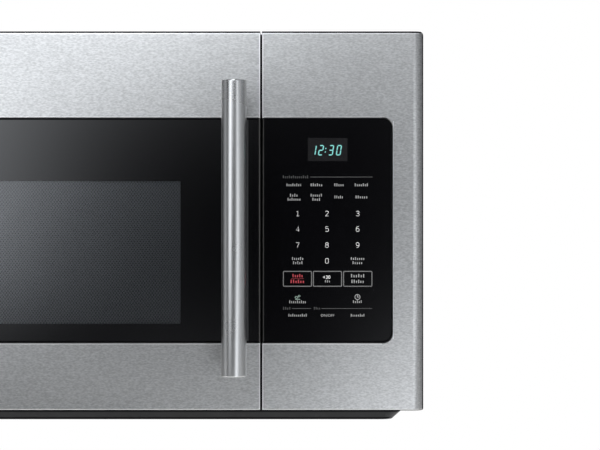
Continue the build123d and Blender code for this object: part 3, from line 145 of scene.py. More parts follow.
def start_plane(name, x, z, y):
    """A flat face towards -Y that fills an X and a Z range, as the active object."""
    clear_selection()
    bpy.ops.mesh.primitive_plane_add(size=1, rotation=(math.pi / 2, 0, 0))
    piece = bpy.context.object
    piece.name = name
    piece.scale = (x[1] - x[0], z[1] - z[0], 1)
    piece.location = ((x[0] + x[1]) / 2, y, (z[0] + z[1]) / 2)
    settle()
    return piece


def pick(piece, kind, test):
    """In edit mode, select only the vertices, edges or faces that pass a test."""
    mesh = bmesh.from_edit_mesh(piece.data)
    mesh.select_mode = {{"verts": "VERT", "edges": "EDGE", "faces": "FACE"}[kind]}
    for part in (*mesh.verts, *mesh.edges, *mesh.faces):
        part.select_set(False)
    for part in getattr(mesh, kind):
        if test(part):
            part.select_set(True)
    mesh.select_flush_mode()
    bmesh.update_edit_mesh(piece.data)


def apply_modifier(piece, kind, **settings):
    """Add one modifier to the active piece and apply it."""
    bpy.context.view_layer.objects.active = piece
    modifier = piece.modifiers.new(kind.title(), kind)
    for name, value in settings.items():
        setattr(modifier, name, value)
    bpy.ops.object.modifier_apply(modifier=modifier.name)


def repeat(piece, steps):
    """Copy a piece by each count and offset in turn, and merge what meets."""
    for count, offset in steps:
        apply_modifier(
            piece, "ARRAY", count=count, use_relative_offset=False, use_constant_offset=True,
            constant_offset_displace=offset, use_merge_vertices=True, merge_threshold=0.05 * MM,
        )


def join_pieces(name, pieces):
    """Join pieces into one object at the origin."""
    clear_selection()
    for piece in pieces:
        piece.select_set(True)
    bpy.context.view_layer.objects.active = pieces[0]
    if len(pieces) > 1:
        bpy.ops.object.join()
    joined = bpy.context.object
    joined.name = name
    joined.data.name = name
    settle()
    return joined


def fit_out(piece, body, material):
    """Give a finished piece its material and the body it moves with."""
    piece.data.materials.clear()
    piece.data.materials.append(material)
    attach(piece, body)


# ---- material helpers ----
# Black matt of painted shade in gaps, seams and along dark edges.
PAINTED_SHADE_BLACK = (0.012, 0.012, 0.013, 1)
DOOR_GLASS_IOR = 1.65
CONTROL_GLASS_IOR = 1.36


def add_node(tree, kind, inputs=None, **settings):
    """Add a shader node; inputs that are sockets are linked and the rest are set."""
    made = tree.nodes.new("ShaderNode" + kind)
    for name, value in settings.items():
        setattr(made, name, value)
    for name, value in (inputs or {}).items():
        if isinstance(value, bpy.types.NodeSocket):
            tree.links.new(value, made.inputs[name])
        else:
            made.inputs[name].default_value = value
    return made


def new_material(name):
    """An empty material and its node tree."""
    material = bpy.data.materials.new(name)
    material.use_nodes = True
    material.node_tree.nodes.clear()
    return material, material.node_tree


def show(tree, shader):
    """Wire a shader socket to the material's surface."""
    add_node(tree, "OutputMaterial", {"Surface": shader})


def arithmetic(tree, operation, *values):
    """The result of one sum on numbers or sockets."""
    return add_node(tree, "Math", dict(enumerate(values)), operation=operation).outputs[0]


def place_on_object(tree):
    """The place in the object's own coordinates."""
    return add_node(tree, "TexCoord").outputs["Object"]


def axes(tree):
    """The X, Y and Z of the place, as sockets by name."""
    return add_node(tree, "SeparateXYZ", {"Vector": place_on_object(tree)}).outputs


def noise(tree, scale, detail=3.0, roughness=0.55):
    """Noise of one scale, or of one for each axis."""
    if not isinstance(scale, tuple):
        scale = (scale, scale, scale)
    stretched = add_node(tree, "Mapping", {"Vector": place_on_object(tree), "Scale": scale})
    return add_node(
        tree, "TexNoise",
        {"Vector": stretched.outputs["Vector"], "Scale": 1.0, "Detail": detail, "Roughness": roughness},
    ).outputs["Fac"]


def between(tree, factor, low, high, from_low=0.3, from_high=0.7):
    """Map a factor to a range of values."""
    return add_node(
        tree, "MapRange",
        {"Value": factor, "From Min": from_low, "From Max": from_high, "To Min": low, "To Max": high},
    ).outputs["Result"]


def blend_colours(tree, factor, first, second):
    """Mix two colours or colour sockets."""
    return add_node(tree, "Mix", {0: factor, 6: first, 7: second}, data_type="RGBA").outputs[2]


def blend_shaders(tree, factor, first, second):
    """Mix two shader sockets."""
    return add_node(tree, "MixShader", {0: factor, 1: first, 2: second}).outputs[0]


def principled(tree, **inputs):
    """A principled shader; an underscore in an input's name stands for a space."""
    named = {name.replace("_", " "): value for name, value in inputs.items()}
    return add_node(tree, "BsdfPrincipled", named).outputs[0]


def shade(colour, amount=1.0):
    """A colour made lighter or darker by a factor."""
    return (*[min(1.0, max(0.0, part * amount)) for part in colour[:3]], 1)


def within(tree, **box):
    """1 inside a box, 0 outside; the box gives (low, high) in metres for some of x, y and z."""
    place = axes(tree)
    inside = None
    for axis in ("x", "y", "z"):
        if axis not in box:
            continue
        for operation, limit in zip(("GREATER_THAN", "LESS_THAN"), box[axis]):
            test = arithmetic(tree, operation, place[axis.upper()], limit)
            inside = test if inside is None else arithmetic(tree, "MULTIPLY", inside, test)
    return inside


def accented(tree, tone, accents):
    """A colour with other colours inside some boxes, given as (colour, box) pairs."""
    for colour, box in accents:
        tone = blend_colours(tree, within(tree, **box), tone, shade(colour))
    return tone


def add_painted_shade(tree, shader, boxes):
    """A shader with painted shade, black matt diffuse, inside some boxes."""
    for box in boxes:
        painted_shade = add_node(tree, "BsdfDiffuse", {"Color": PAINTED_SHADE_BLACK}).outputs[0]
        shader = blend_shaders(tree, within(tree, **box), shader, painted_shade)
    return shader


def bump(tree, height, strength, distance=0.0002):
    """A bump normal from a height."""
    return add_node(
        tree, "Bump", {"Height": height, "Strength": strength, "Distance": distance}
    ).outputs["Normal"]


def coated(name, colour, roughness, metallic=0.0, scale=900, spread=0.12, relief=0.25,
           wander=0.08, ior=1.5, depth=0.0002, accents=(), painted_shade=()):
    """A metal, paint or moulding: mottled colour, uneven gloss and fine relief."""
    material, tree = new_material(name)
    fine = noise(tree, scale)
    cloud = noise(tree, 14, 2.0)
    tone = blend_colours(tree, fine, shade(colour, 1 - spread), shade(colour, 1 + spread))
    tone = blend_colours(tree, between(tree, cloud, 0.0, 0.35), tone, shade(colour, 0.82))
    shader = principled(
        tree,
        Base_Color=accented(tree, tone, accents),
        Metallic=metallic,
        Roughness=between(tree, cloud, roughness - wander, roughness + wander),
        IOR=ior,
        Normal=bump(tree, fine, relief, depth),
    )
    show(tree, add_painted_shade(tree, shader, painted_shade))
    return material


def brushed(name, colour, roughness, grain, fleck, strength, accents=(), painted_shade=()):
    """Stainless steel; grain and fleck are the scales of its long streaks and short marks."""
    material, tree = new_material(name)
    streak = noise(tree, grain, 4.0, 0.7)
    marks = noise(tree, fleck, 1.0, 0.5)
    cloud = noise(tree, (5, 5, 9), 2.0)
    mixed = between(tree, arithmetic(tree, "MULTIPLY_ADD", streak, 0.3, marks), 0.0, 1.0, 0.4, 0.9)
    tone = blend_colours(tree, mixed, shade(colour, 1 - strength), shade(colour, 1 + strength))
    shader = principled(
        tree,
        Base_Color=accented(tree, tone, accents),
        Metallic=1.0,
        Roughness=between(tree, cloud, roughness - 0.02, roughness + 0.02),
        Normal=bump(tree, streak, 0.05, 0.00005),
    )
    show(tree, add_painted_shade(tree, shader, painted_shade))
    return material


def glossy_glass(tree, colour, ior, accents):
    """Black printed glass: nearly black under a hard polished face with faint dust."""
    tone = blend_colours(tree, noise(tree, 420, 2.0), shade(colour, 0.7), shade(colour, 1.5))
    return principled(
        tree,
        Base_Color=accented(tree, tone, accents),
        Roughness=between(tree, noise(tree, 9), 0.02, 0.035),
        IOR=ior,
    )


def black_glass(name, colour, ior, accents):
    """Control glass."""
    material, tree = new_material(name)
    show(tree, glossy_glass(tree, colour, ior, accents))
    return material


def window_glass(name, colour, tint, window, ior, accents):
    """Door glass: black print all round, and a window that lets a tint through."""
    material, tree = new_material(name)
    fresnel = add_node(tree, "Fresnel", {"IOR": ior}).outputs[0]
    through = add_node(tree, "BsdfTransparent", {"Color": tint}).outputs[0]
    gloss = add_node(tree, "BsdfGlossy", {"Color": (1, 1, 1, 1), "Roughness": 0.02}).outputs[0]
    pane = blend_shaders(tree, fresnel, through, gloss)
    show(tree, blend_shaders(tree, within(tree, **window), glossy_glass(tree, colour, ior, accents), pane))
    return material


def clear_glass(name, colour, cover, roughness, scale, relief):
    """A thin clear pane or pressing; cover is how much of it is body rather than see-through."""
    material, tree = new_material(name)
    waves = noise(tree, scale, 2.0)
    body = principled(
        tree,
        Base_Color=blend_colours(tree, waves, shade(colour, 0.9), shade(colour, 1.05)),
        Roughness=between(tree, waves, roughness * 0.7, roughness * 1.4),
        IOR=1.5,
        Normal=bump(tree, waves, relief),
    )
    through = add_node(tree, "BsdfTransparent", {"Color": (0.97, 0.98, 0.98, 1)}).outputs[0]
    edge = add_node(tree, "LayerWeight", {"Blend": 0.35}).outputs["Facing"]
    amount = between(tree, edge, cover, min(1.0, cover + 0.45), 0.0, 1.0)
    show(tree, blend_shaders(tree, amount, through, body))
    return material


def spangled(name, colour, roughness=0.42):
    """Zinc-coated sheet with its crystal spangle."""
    material, tree = new_material(name)
    cells = add_node(tree, "TexVoronoi", {"Vector": place_on_object(tree), "Scale": 95.0})
    tint = add_node(tree, "SeparateColor", {"Color": cells.outputs["Color"]}).outputs[0]
    show(tree, principled(
        tree,
        Base_Color=blend_colours(tree, tint, shade(colour, 0.82), shade(colour, 1.12)),
        Metallic=0.85,
        Roughness=between(tree, tint, roughness - 0.1, roughness + 0.08, 0.0, 1.0),
        Normal=bump(tree, noise(tree, 700), 0.12),
    ))
    return material


def speckled(name, colour, roughness=0.3, painted_shade=()):
    """Oven enamel: even paint with a slight orange peel and fine darker specks."""
    material, tree = new_material(name)
    specks = add_node(tree, "TexVoronoi", {"Vector": place_on_object(tree), "Scale": 420.0})
    dots = between(tree, specks.outputs["Distance"], 1.0, 0.0, 0.08, 0.16)
    peel = noise(tree, 260, 2.0)
    base = blend_colours(tree, peel, shade(colour, 0.95), shade(colour, 1.04))
    shader = principled(
        tree,
        Base_Color=blend_colours(tree, dots, base, shade(colour, 0.72)),
        Roughness=between(tree, peel, roughness - 0.05, roughness + 0.07),
        Normal=bump(tree, peel, 0.18),
    )
    show(tree, add_painted_shade(tree, shader, painted_shade))
    return material


def banded(name, colour, other, axis, pitch, roughness, metallic, accents):
    """Stacked laminations, fins or windings: thin bands along one axis."""
    material, tree = new_material(name)
    wave = arithmetic(tree, "SINE", arithmetic(tree, "MULTIPLY", axes(tree)[axis], math.tau / pitch))
    band = between(tree, wave, 0.0, 1.0, -0.8, 0.8)
    fine = noise(tree, 500)
    tone = blend_colours(tree, band, shade(colour), shade(other))
    tone = blend_colours(tree, between(tree, fine, 0.0, 0.3), tone, shade(colour, 0.6))
    show(tree, principled(
        tree,
        Base_Color=accented(tree, tone, accents),
        Metallic=metallic,
        Roughness=between(tree, fine, roughness - 0.08, roughness + 0.08),
        Normal=bump(tree, band, 0.35),
    ))
    return material


def printed(name, colour):
    """Screen print on glass."""
    return coated(name, colour, 0.55, scale=2500, spread=0.05, relief=0.08, wander=0.05)


def lit(name, colour):
    """Lit segments of the clock, with a slight unevenness."""
    material, tree = new_material(name)
    glow = blend_colours(tree, noise(tree, 1600, 1.0), shade(colour, 0.85), shade(colour, 1.12))
    show(tree, principled(
        tree, Base_Color=shade(colour, 0.15), Roughness=0.5, Emission_Color=glow, Emission_Strength=1.0
    ))
    return material


def dress(materials):
    """Give the carried-over parts their materials."""
    for names, material in materials.items():
        for name in names.split():
            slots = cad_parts[name].material_slots
            if not slots:
                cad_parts[name].data.materials.append(material)
            for slot in slots:
                slot.material = material


# ---- finishes ----
WINDOW_X = span(-280.6, 111.1)
WINDOW_Z = span(-109.4, 48.8)


class MICROWAVE_OT_front_finishes(bpy.types.Operator):
    """Brushed steel, black glass and the satin handle of the front"""

    bl_idname = "microwave.front_finishes"
    bl_label = "Front Finishes"

    def execute(self, context):
        colours = context.scene.microwave_colours
        face_y, low_z, high_z = DOOR_BOX[0].y, DOOR_BOX[0].z, DOOR_BOX[1].z
        door_edge, panel_edge = DOOR_BOX[1].x, PANEL_BOX[0].x
        # The two tones below are painted highlights: the first for the steel's edges, the second for the
        # glasses' edges.
        bright, glass_edge_highlight = (0.95, 0.95, 0.95), (0.055, 0.055, 0.055)
        roll_y = span(-1, 2.1, face_y)
        lip = {"x": span(-334, 334), "y": span(-1, 0.3, face_y)}
        # Painted highlights, lighter steel: seam, right, lower and upper edge of the openings, top and
        # foot.
        painted_highlights = (
            (bright, {"x": (door_edge - 1.2 * MM, panel_edge + 1.3 * MM), "y": roll_y}),
            (bright, {"x": span(346.1, 347), "z": span(-126, 115)}),
            (bright, {**lip, "z": span(-132.1, -130.6)}),
            (bright, {**lip, "z": span(118.2, 119.8)}),
            (bright, {"y": roll_y, "z": span(-3.1, -2, high_z)}),
            ((0.68, 0.68, 0.68), {"y": roll_y, "z": span(0.9, 1.6, low_z)}),
        )
        # Painted shade, black matt: the rolls of the right, left, top and foot edges, the seam, and the
        # folds behind the openings' edges.
        painted_shade_rims = (
            {"x": span(-1.5, 1, PANEL_BOX[1].x)},
            {"x": span(-1, 1.5, DOOR_BOX[0].x)},
            {"z": span(-2, 1, high_z)},
            {"z": span(-1, 0.9, low_z)},
            {"x": (door_edge - 0.1 * MM, panel_edge + 0.35 * MM)},
            *(
                {"x": x, "y": span(0.3, 9, face_y), "z": z}
                for x in ((-350 * MM, door_edge - 2 * MM), (panel_edge + 2 * MM, 350 * MM))
                for z in (span(-134, -128), span(117.4, 121))
            ),
        )
        steel = brushed(
            "stainless", colours.steel, 0.36, (45, 45, 2100), (330, 330, 850), 0.2, painted_highlights, painted_shade_rims
        )
        tube = brushed("satin_tube", colours.handle, 0.28, (1500, 1500, 60), (900, 900, 300), 0.02)
        # Both glasses get a painted highlight: a lighter band along their edge at the seam.
        door_glass = window_glass(
            "door_glass", colours.black_glass, colours.window_tint, {"x": WINDOW_X, "z": WINDOW_Z},
            DOOR_GLASS_IOR, ((glass_edge_highlight, {"x": span(-1.3, 1, door_edge)}),),
        )
        control_glass = black_glass(
            "control_glass", colours.black_glass, CONTROL_GLASS_IOR,
            ((glass_edge_highlight, {"x": (panel_edge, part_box("control_glass")[0].x + 1.3 * MM)}),),
        )
        dress({
            "door_skin panel_skin": steel,
            "handle_bar handle_posts": tube,
            "door_glass": door_glass,
            "control_glass": control_glass,
            "handle_screws case_screws": coated(
                "plated_screw", (0.55, 0.55, 0.54), 0.32, 1.0, 1200, 0.08, 0.15
            ),
        })
        return {"FINISHED"}


class MICROWAVE_OT_case_finishes(bpy.types.Operator):
    """Powder-coated case and base, zinc sheet and brackets"""

    bl_idname = "microwave.case_finishes"
    bl_label = "Case Finishes"

    def execute(self, context):
        colours = context.scene.microwave_colours
        tray_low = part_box("base_plate")[0].z
        tray_front = span(-353, -335)
        # Painted shade, black matt: the upper edge of the tray's front under the skin, the tray's foot, and
        # the frame where it shows in the seam.
        tray_painted_shade = (
            {"y": tray_front, "z": (-210.8 * MM, 0)},
            {"y": tray_front, "z": (-1, tray_low + 2.8 * MM)},
        )
        # Painted shade on the front frame where it shows through the seam between door and panel.
        seam_painted_shade = {"x": (DOOR_BOX[1].x - 4 * MM, PANEL_BOX[0].x + 4 * MM)}
        dress({
            "outer_wrap": coated(
                "case_coat", colours.case, 0.48, scale=1300, spread=0.2, relief=0.5, wander=0.03
            ),
            "base_plate": coated(
                "base_coat", colours.base, 0.45, scale=1300, spread=0.15, relief=0.4, ior=1.35,
                painted_shade=tray_painted_shade,
            ),
            "wall_plate back_panel bay_partition top_deck": spangled("zinc_sheet", (0.60, 0.61, 0.62)),
            "hinge_lower hinge_upper": coated(
                "zinc_bracket", (0.52, 0.52, 0.50), 0.38, 0.9, 800, 0.1, 0.2
            ),
            "front_frame": speckled("frame_enamel", (0.26, 0.26, 0.265), 0.38, (seam_painted_shade,)),
            "cord_bushing": coated("rubber", (0.028, 0.028, 0.028), 0.72, scale=700, relief=0.4),
        })
        return {"FINISHED"}


class MICROWAVE_OT_oven_finishes(bpy.types.Operator):
    """Enamel, turntable, rollers, door inside and latch"""

    bl_idname = "microwave.oven_finishes"
    bl_label = "Oven Finishes"

    def execute(self, context):
        colours = context.scene.microwave_colours
        moulding = coated(
            "black_moulding", (0.022, 0.022, 0.024), 0.5, scale=1500, relief=0.35, wander=0.03
        )
        nylon = coated("nylon", (0.68, 0.66, 0.59), 0.42, scale=600, spread=0.05, relief=0.12)
        white = coated("white_moulding", (0.72, 0.72, 0.69), 0.45, scale=900, spread=0.04, relief=0.12)
        dress({
            "cavity": speckled("cavity_enamel", colours.enamel),
            "mica_cover": coated("mica", (0.55, 0.47, 0.33), 0.35, 0.15, (260, 900, 260), 0.3, 0.3),
            "door_frame choke_cover panel_frame": moulding,
            "inner_window": clear_glass("inner_window", (0.55, 0.57, 0.57), 0.05, 0.04, 12, 0.03),
            "glass_tray": clear_glass("tray_glass", (0.78, 0.84, 0.83), 0.16, 0.06, 160, 0.25),
            "drive_coupler roller_ring roller_1 roller_2 roller_3 hinge_bushes": nylon,
            "latch_hooks latch_board plunger_lower plunger_upper": white,
            "turntable_motor": coated(
                "motor_can", (0.50, 0.50, 0.48), 0.36, 0.9, (900, 900, 60), 0.08, 0.2
            ),
        })
        return {"FINISHED"}


class MICROWAVE_OT_machine_finishes(bpy.types.Operator):
    """Electronics, generator and cooling parts behind the panel"""

    bl_idname = "microwave.machine_finishes"
    bl_label = "Machine Finishes"

    def execute(self, context):
        board_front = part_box("control_board")[0].y
        tube_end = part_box("magnetron")[1].x
        core_front, core_back = [corner.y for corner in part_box("transformer")]
        windings = (core_front + 10 * MM, core_back - 10 * MM)
        switch_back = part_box("interlock_switches")[1].y
        motor_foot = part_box("cooling_fan_motor")[0].z
        dress({
            "display_module": coated("display_lens", (0.012, 0.013, 0.015), 0.2, scale=800, relief=0.1),
            "control_board": coated(
                "board", (0.03, 0.05, 0.035), 0.42, scale=420, spread=0.35, relief=0.3,
                accents=(((0.02, 0.17, 0.07), {"y": span(0, 14.05, board_front)}),),
            ),
            "interlock_switches": coated(
                "switch", (0.02, 0.02, 0.022), 0.4, scale=1200,
                accents=(((0.62, 0.60, 0.50), {"y": span(-6, 1, switch_back)}),),
            ),
            "waveguide": spangled("guide_zinc", (0.58, 0.58, 0.57), 0.36),
            "magnetron": banded(
                "magnetron", (0.62, 0.62, 0.63), (0.70, 0.70, 0.71), "X", 3 * MM, 0.38, 0.9,
                accents=(((0.42, 0.42, 0.43), {"x": span(-27, 1, tube_end)}),),
            ),
            "transformer": banded(
                "transformer", (0.50, 0.20, 0.09), (0.62, 0.29, 0.13), "Z", 1.6 * MM, 0.42, 0.55,
                accents=(((0.15, 0.14, 0.13), {"y": windings}),),
            ),
            "capacitor": coated("capacitor_can", (0.68, 0.68, 0.69), 0.3, 0.95, (900, 900, 40), 0.06, 0.12),
            "fan_shroud": spangled("shroud_zinc", (0.56, 0.57, 0.58)),
            "cooling_fan_motor": banded(
                "motor_core", (0.22, 0.21, 0.20), (0.30, 0.29, 0.28), "Y", 1.2 * MM, 0.5, 0.6,
                accents=(((0.52, 0.26, 0.12), {"z": span(-1, 19, motor_foot)}),),
            ),
            "cooling_fan blower_wheels": coated(
                "fan_plastic", (0.10, 0.10, 0.108), 0.48, scale=800, relief=0.2
            ),
            "thermal_cutouts": coated("cutout", (0.64, 0.64, 0.65), 0.34, 0.9, 800, 0.08, 0.15),
            "cavity_lamp": coated("lamp_box", (0.60, 0.60, 0.58), 0.38, 0.6, 700, 0.08, 0.15),
        })
        return {"FINISHED"}


class MICROWAVE_OT_exhaust_finishes(bpy.types.Operator):
    """Blower, damper, vents, filters and cooktop lamps"""

    bl_idname = "microwave.exhaust_finishes"
    bl_label = "Exhaust Finishes"

    def execute(self, context):
        lamp_low, lamp_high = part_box("cooktop_lamps")
        dress({
            "blower_housing damper_frame damper_flap": spangled("blower_zinc", (0.58, 0.59, 0.60)),
            "blower_motor": coated("blower_motor", (0.48, 0.48, 0.46), 0.38, 0.9, (60, 900, 900), 0.1, 0.2),
            "vent_grille": coated("grille", (0.024, 0.024, 0.026), 0.46, scale=1400, relief=0.4),
            "charcoal_filter": coated(
                "charcoal", (0.022, 0.022, 0.023), 0.85, scale=480, spread=0.6, relief=1.0, depth=0.001
            ),
            "grease_filter_left grease_filter_right": coated(
                "filter_frame", (0.66, 0.66, 0.67), 0.36, 0.95, (500, 60, 500), 0.08, 0.2
            ),
            "lamp_cover": clear_glass("lens", (0.80, 0.82, 0.82), 0.30, 0.22, 900, 0.6),
            "cooktop_lamps": coated(
                "lamp_plate", (0.55, 0.55, 0.54), 0.36, 0.85, 700, 0.08, 0.15,
                accents=(((0.86, 0.82, 0.70), {"z": (lamp_low.z + 1.5 * MM, lamp_high.z - 2 * MM)}),),
            ),
        })
        return {"FINISHED"}


# ---- door screen ----
SCREEN_MARGIN = (2.4, 1.3)  # solid sheet beyond the window, across and up, in millimetres
SCREEN_LIP = 8  # flat rim round the pressed pan, in millimetres
SCREEN_BEND = 2.2  # rounding of the pan's folds, in millimetres


class MICROWAVE_OT_door_screen(bpy.types.Operator):
    """Stamped door screen with its real rows of holes"""

    bl_idname = "microwave.door_screen"
    bl_label = "Door Screen"

    def execute(self, context):
        sizes = context.scene.microwave_sizes
        low, high = SCREEN_BOX
        sheet_y = low.y + 0.05 * MM
        middle_x = (WINDOW_X[0] + WINDOW_X[1]) / 2
        middle_z = (WINDOW_Z[0] + WINDOW_Z[1]) / 2
        half_x, half_z = sizes.hole_pitch_x / 2, sizes.hole_pitch_z / 2

        clear_selection()
        radius = sizes.hole_radius
        bpy.ops.mesh.primitive_circle_add(vertices=8, radius=radius, rotation=(math.pi / 2, 0, 0))
        holes = bpy.context.object
        settle()
        edit_all()
        hair = 0.01 * MM
        bpy.ops.mesh.extrude_edges_move(TRANSFORM_OT_translate={"value": (0, hair, 0)})
        # The outer ring's square points go to the sides of the cell, its slanted ones to the corners.
        for diagonal, reach in ((False, radius), (True, radius * math.sqrt(0.5))):
            def outer(vertex, diagonal=diagonal):
                slanted = min(abs(vertex.co.x), abs(vertex.co.z)) > radius * 0.3
                return vertex.co.y > hair / 2 and slanted == diagonal
            pick(holes, "verts", outer)
            bpy.ops.transform.resize(value=(half_x / reach, 1, half_z / reach), center_override=(0, 0, 0))
        bpy.ops.mesh.select_all(action="SELECT")
        bpy.ops.transform.resize(value=(1, 0, 1), center_override=(0, 0, 0))
        bpy.ops.mesh.normals_make_consistent(inside=False)
        bpy.ops.object.mode_set(mode="OBJECT")
        repeat(holes, (
            (sizes.hole_columns, (sizes.hole_pitch_x, 0, 0)),
            (2, (half_x, 0, sizes.hole_pitch_z)),
            (sizes.hole_rows, (0, 0, 2 * sizes.hole_pitch_z)),
        ))
        width = (sizes.hole_columns - 0.5) * sizes.hole_pitch_x
        height = (2 * sizes.hole_rows - 1) * sizes.hole_pitch_z
        holes.location = (middle_x - width / 2, sheet_y, middle_z - height / 2)
        settle()

        opening_x = (WINDOW_X[0] - SCREEN_MARGIN[0] * MM, WINDOW_X[1] + SCREEN_MARGIN[0] * MM)
        opening_z = (WINDOW_Z[0] - SCREEN_MARGIN[1] * MM, WINDOW_Z[1] + SCREEN_MARGIN[1] * MM)
        pan_x = (low.x + SCREEN_LIP * MM, high.x - SCREEN_LIP * MM)
        pan_z = (low.z + SCREEN_LIP * MM, high.z - SCREEN_LIP * MM)
        pan = start_plane("door_screen_sheet", opening_x, opening_z, sheet_y + 0.1 * MM)
        edit_all()
        bpy.ops.mesh.delete(type="ONLY_FACE")
        bpy.ops.mesh.select_all(action="SELECT")
        rings = (
            (opening_x, opening_z, pan_x, pan_z, 0),
            (pan_x, pan_z, pan_x, pan_z, high.y - sheet_y - 0.5 * MM),
            (pan_x, pan_z, (low.x, high.x), (low.z, high.z), 0),
        )
        for old_x, old_z, new_x, new_z, back in rings:
            old = Vector(((old_x[0] + old_x[1]) / 2, 0, (old_z[0] + old_z[1]) / 2))
            new = Vector(((new_x[0] + new_x[1]) / 2, 0, (new_z[0] + new_z[1]) / 2))
            bpy.ops.mesh.extrude_edges_move(TRANSFORM_OT_translate={"value": (0, back, 0)})
            wider = (new_x[1] - new_x[0]) / (old_x[1] - old_x[0])
            taller = (new_z[1] - new_z[0]) / (old_z[1] - old_z[0])
            bpy.ops.transform.resize(value=(wider, 1, taller), center_override=old)
            bpy.ops.transform.translate(value=new - old)
        bpy.ops.object.mode_set(mode="OBJECT")
        apply_modifier(
            pan, "BEVEL", width=SCREEN_BEND * MM, segments=3, limit_method="ANGLE",
            angle_limit=math.radians(40),
        )
        apply_modifier(pan, "SOLIDIFY", thickness=sizes.screen_sheet, offset=1)
        bpy.ops.object.shade_smooth_by_angle(angle=math.radians(35))
        screen = join_pieces("door_screen_mesh", [pan, holes])
        colour = context.scene.microwave_colours.screen
        fit_out(screen, "door", coated("screen_steel", colour, 0.38, 0.9, 900, 0.06, 0.2))
        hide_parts("door_screen")
        return {"FINISHED"}


# ---- prints on the control glass ----
# All places and sizes in these tables are in millimetres, X to the right and Z up.
DIGIT_COLUMNS = (240.7, 273.1, 307.1)
DIGIT_ROWS = (12.8, -4.4, -22.1)
ZERO_PLACE = (273.1, -39.6)
DIGIT_WIDTH = 0.66  # share of the height
DIGIT_FLATNESS = 0.16  # depth of a stroke as a share of its width
THIRTY_PLACE = (272.8, -57.6)
THIRTY_HEIGHT = 0.93  # share of a digit's height
# Strokes of the digits on a grid 4 wide and 8 high: straight lines, open bends and closed bends.
DIGIT_STROKES = {
    "0": ((), (), (((0, 2.2), (0, 5.8), (0.2, 8), (3.8, 8), (4, 5.8), (4, 2.2), (3.8, 0), (0.2, 0)),)),
    "1": ((((0.6, 6.7), (2.2, 8), (2.2, 0)), ((0.6, 0), (3.8, 0))), (), ()),
    "2": ((((0, 0), (4, 0)),), (((0.1, 6.4), (0.4, 8), (3.8, 8), (4, 5.4), (2.6, 3.3), (0, 0)),), ()),
    "3": ((), (
        ((0.2, 7.3), (1.2, 8), (3.9, 8), (3.9, 4.3), (1.3, 4.3)),
        ((1.3, 4.3), (4.1, 4.3), (4.1, 0), (1.2, 0), (0, 0.8)),
    ), ()),
    "4": ((((3, 0), (3, 8), (0, 2.3), (4, 2.3)),), (), ()),
    "5": (
        (((3.7, 8), (0.5, 8), (0.4, 4.3)),),
        (((0.4, 4.3), (1.2, 5), (4, 5.2), (4.1, 0), (1.4, 0), (0, 0.7)),), (),
    ),
    "6": ((), (((3.5, 8), (1.6, 8), (0, 6.2), (0, 2.5)),), (((0, 0), (4, 0), (4, 5), (0, 5)),)),
    "7": ((((0, 8), (4, 8), (1.4, 0)),), (), ()),
    "8": ((), (), (((0.3, 4.2), (3.7, 4.2), (3.7, 8), (0.3, 8)), ((0, 0), (4, 0), (4, 4.3), (0, 4.3)))),
    "9": ((), (((0.5, 0), (2.4, 0), (4, 1.8), (4, 5.5)),), (((0, 3), (4, 3), (4, 8), (0, 8)),)),
}
# Each mark: first X, last X, middle Z and cap height.
LABELS = (
    (227.9, 245.0, 44.4, 3.6), (254.5, 268.3, 44.4, 3.6), (280.7, 292.1, 44.4, 3.6),
    (303.3, 318.9, 44.4, 3.6), (231.6, 241.1, 32.9, 3.6), (229.0, 244.2, 28.4, 3.6),
    (254.5, 268.1, 32.9, 3.6), (256.4, 266.0, 28.4, 3.6), (280.9, 291.1, 30.9, 3.6),
    (304.2, 318.3, 30.9, 3.6), (233.9, 247.3, -37.2, 3.6), (235.0, 246.5, -41.8, 3.6),
    (299.0, 315.0, -37.2, 3.6), (300.8, 312.7, -41.8, 3.6), (299.1, 315.0, -56.2, 4.2),
    (299.6, 314.4, -62.5, 4.2), (270.4, 276.9, -62.3, 3.0), (230.9, 250.2, -85.1, 3.6),
    (301.4, 312.1, -84.9, 3.6), (230.0, 251.2, -99.9, 3.4), (299.0, 315.0, -99.9, 3.4),
)
STOP_LABELS = ((234.4, 246.8, -56.2, 4.2), (232.2, 248.3, -62.5, 4.2))
DIM_LABELS = ((223.8, 252.8, 53.2, 3.6), (224.0, 233.2, -92.2, 3.4), (258.2, 266.0, -92.2, 3.4))
LETTER_PITCH = 0.62  # share of the cap height
LETTER_SIDES = (0.26, 0.74)  # shares of the pitch
LETTER_FOOT, LETTER_TALL, LETTER_LOW = 0.4, 0.9, 0.64  # shares of the cap height
LETTER_ROUND = 0.35
ON_OFF_PLACE, ON_OFF_HEIGHT = (273.8, -99.9), 4.2
FRAMES_X = ((224.4, 256.6), (257.6, 289.8), (291.0, 323.4))
FRAMES_Z, FRAME_ROUND = (-68.2, -50.7), 1.4
RULES = ((254.5, 323.5, 53.2), (234.2, 255.6, -92.3), (267.1, 323.2, -92.3))  # first X, last X and Z
RULE_HALF = 0.4
STOP_RULE = ((233.5, 247.5), (-59.6, -59.1))
CLOCK_FACE = (306.9, -79.6, 3.2, 0.8)  # middle, radius and border
CLOCK_HANDS = (((306.5, 307.3), (-80.0, -77.4)), ((306.9, 308.9), (-80.0, -79.2)))
LEAVES = ((239.4, -80.0, 3.2), (242.4, -78.5, 2.4))  # middle and width
LEAF_BORDER, LEAF_SHAPE = 0.5, (1.15, 0.8, 1)
STEM = ((238.0, 243.4), (-82.4, -81.8))
DISPLAY = ((252.0, 295.7), (70.9, 96.4))
CLOCK_DIGITS = (("1", 255.9), ("2", 263.9), ("3", 275.1), ("0", 283.7))  # left edges
CLOCK_WIDTH, CLOCK_FOOT = 5.3, 77.1
COLON_X, COLON_DOTS, COLON_HALF = (271.0, 272.2), (80.9, 84.8), 0.6
CLOCK_SLANT = math.tan(math.radians(9))
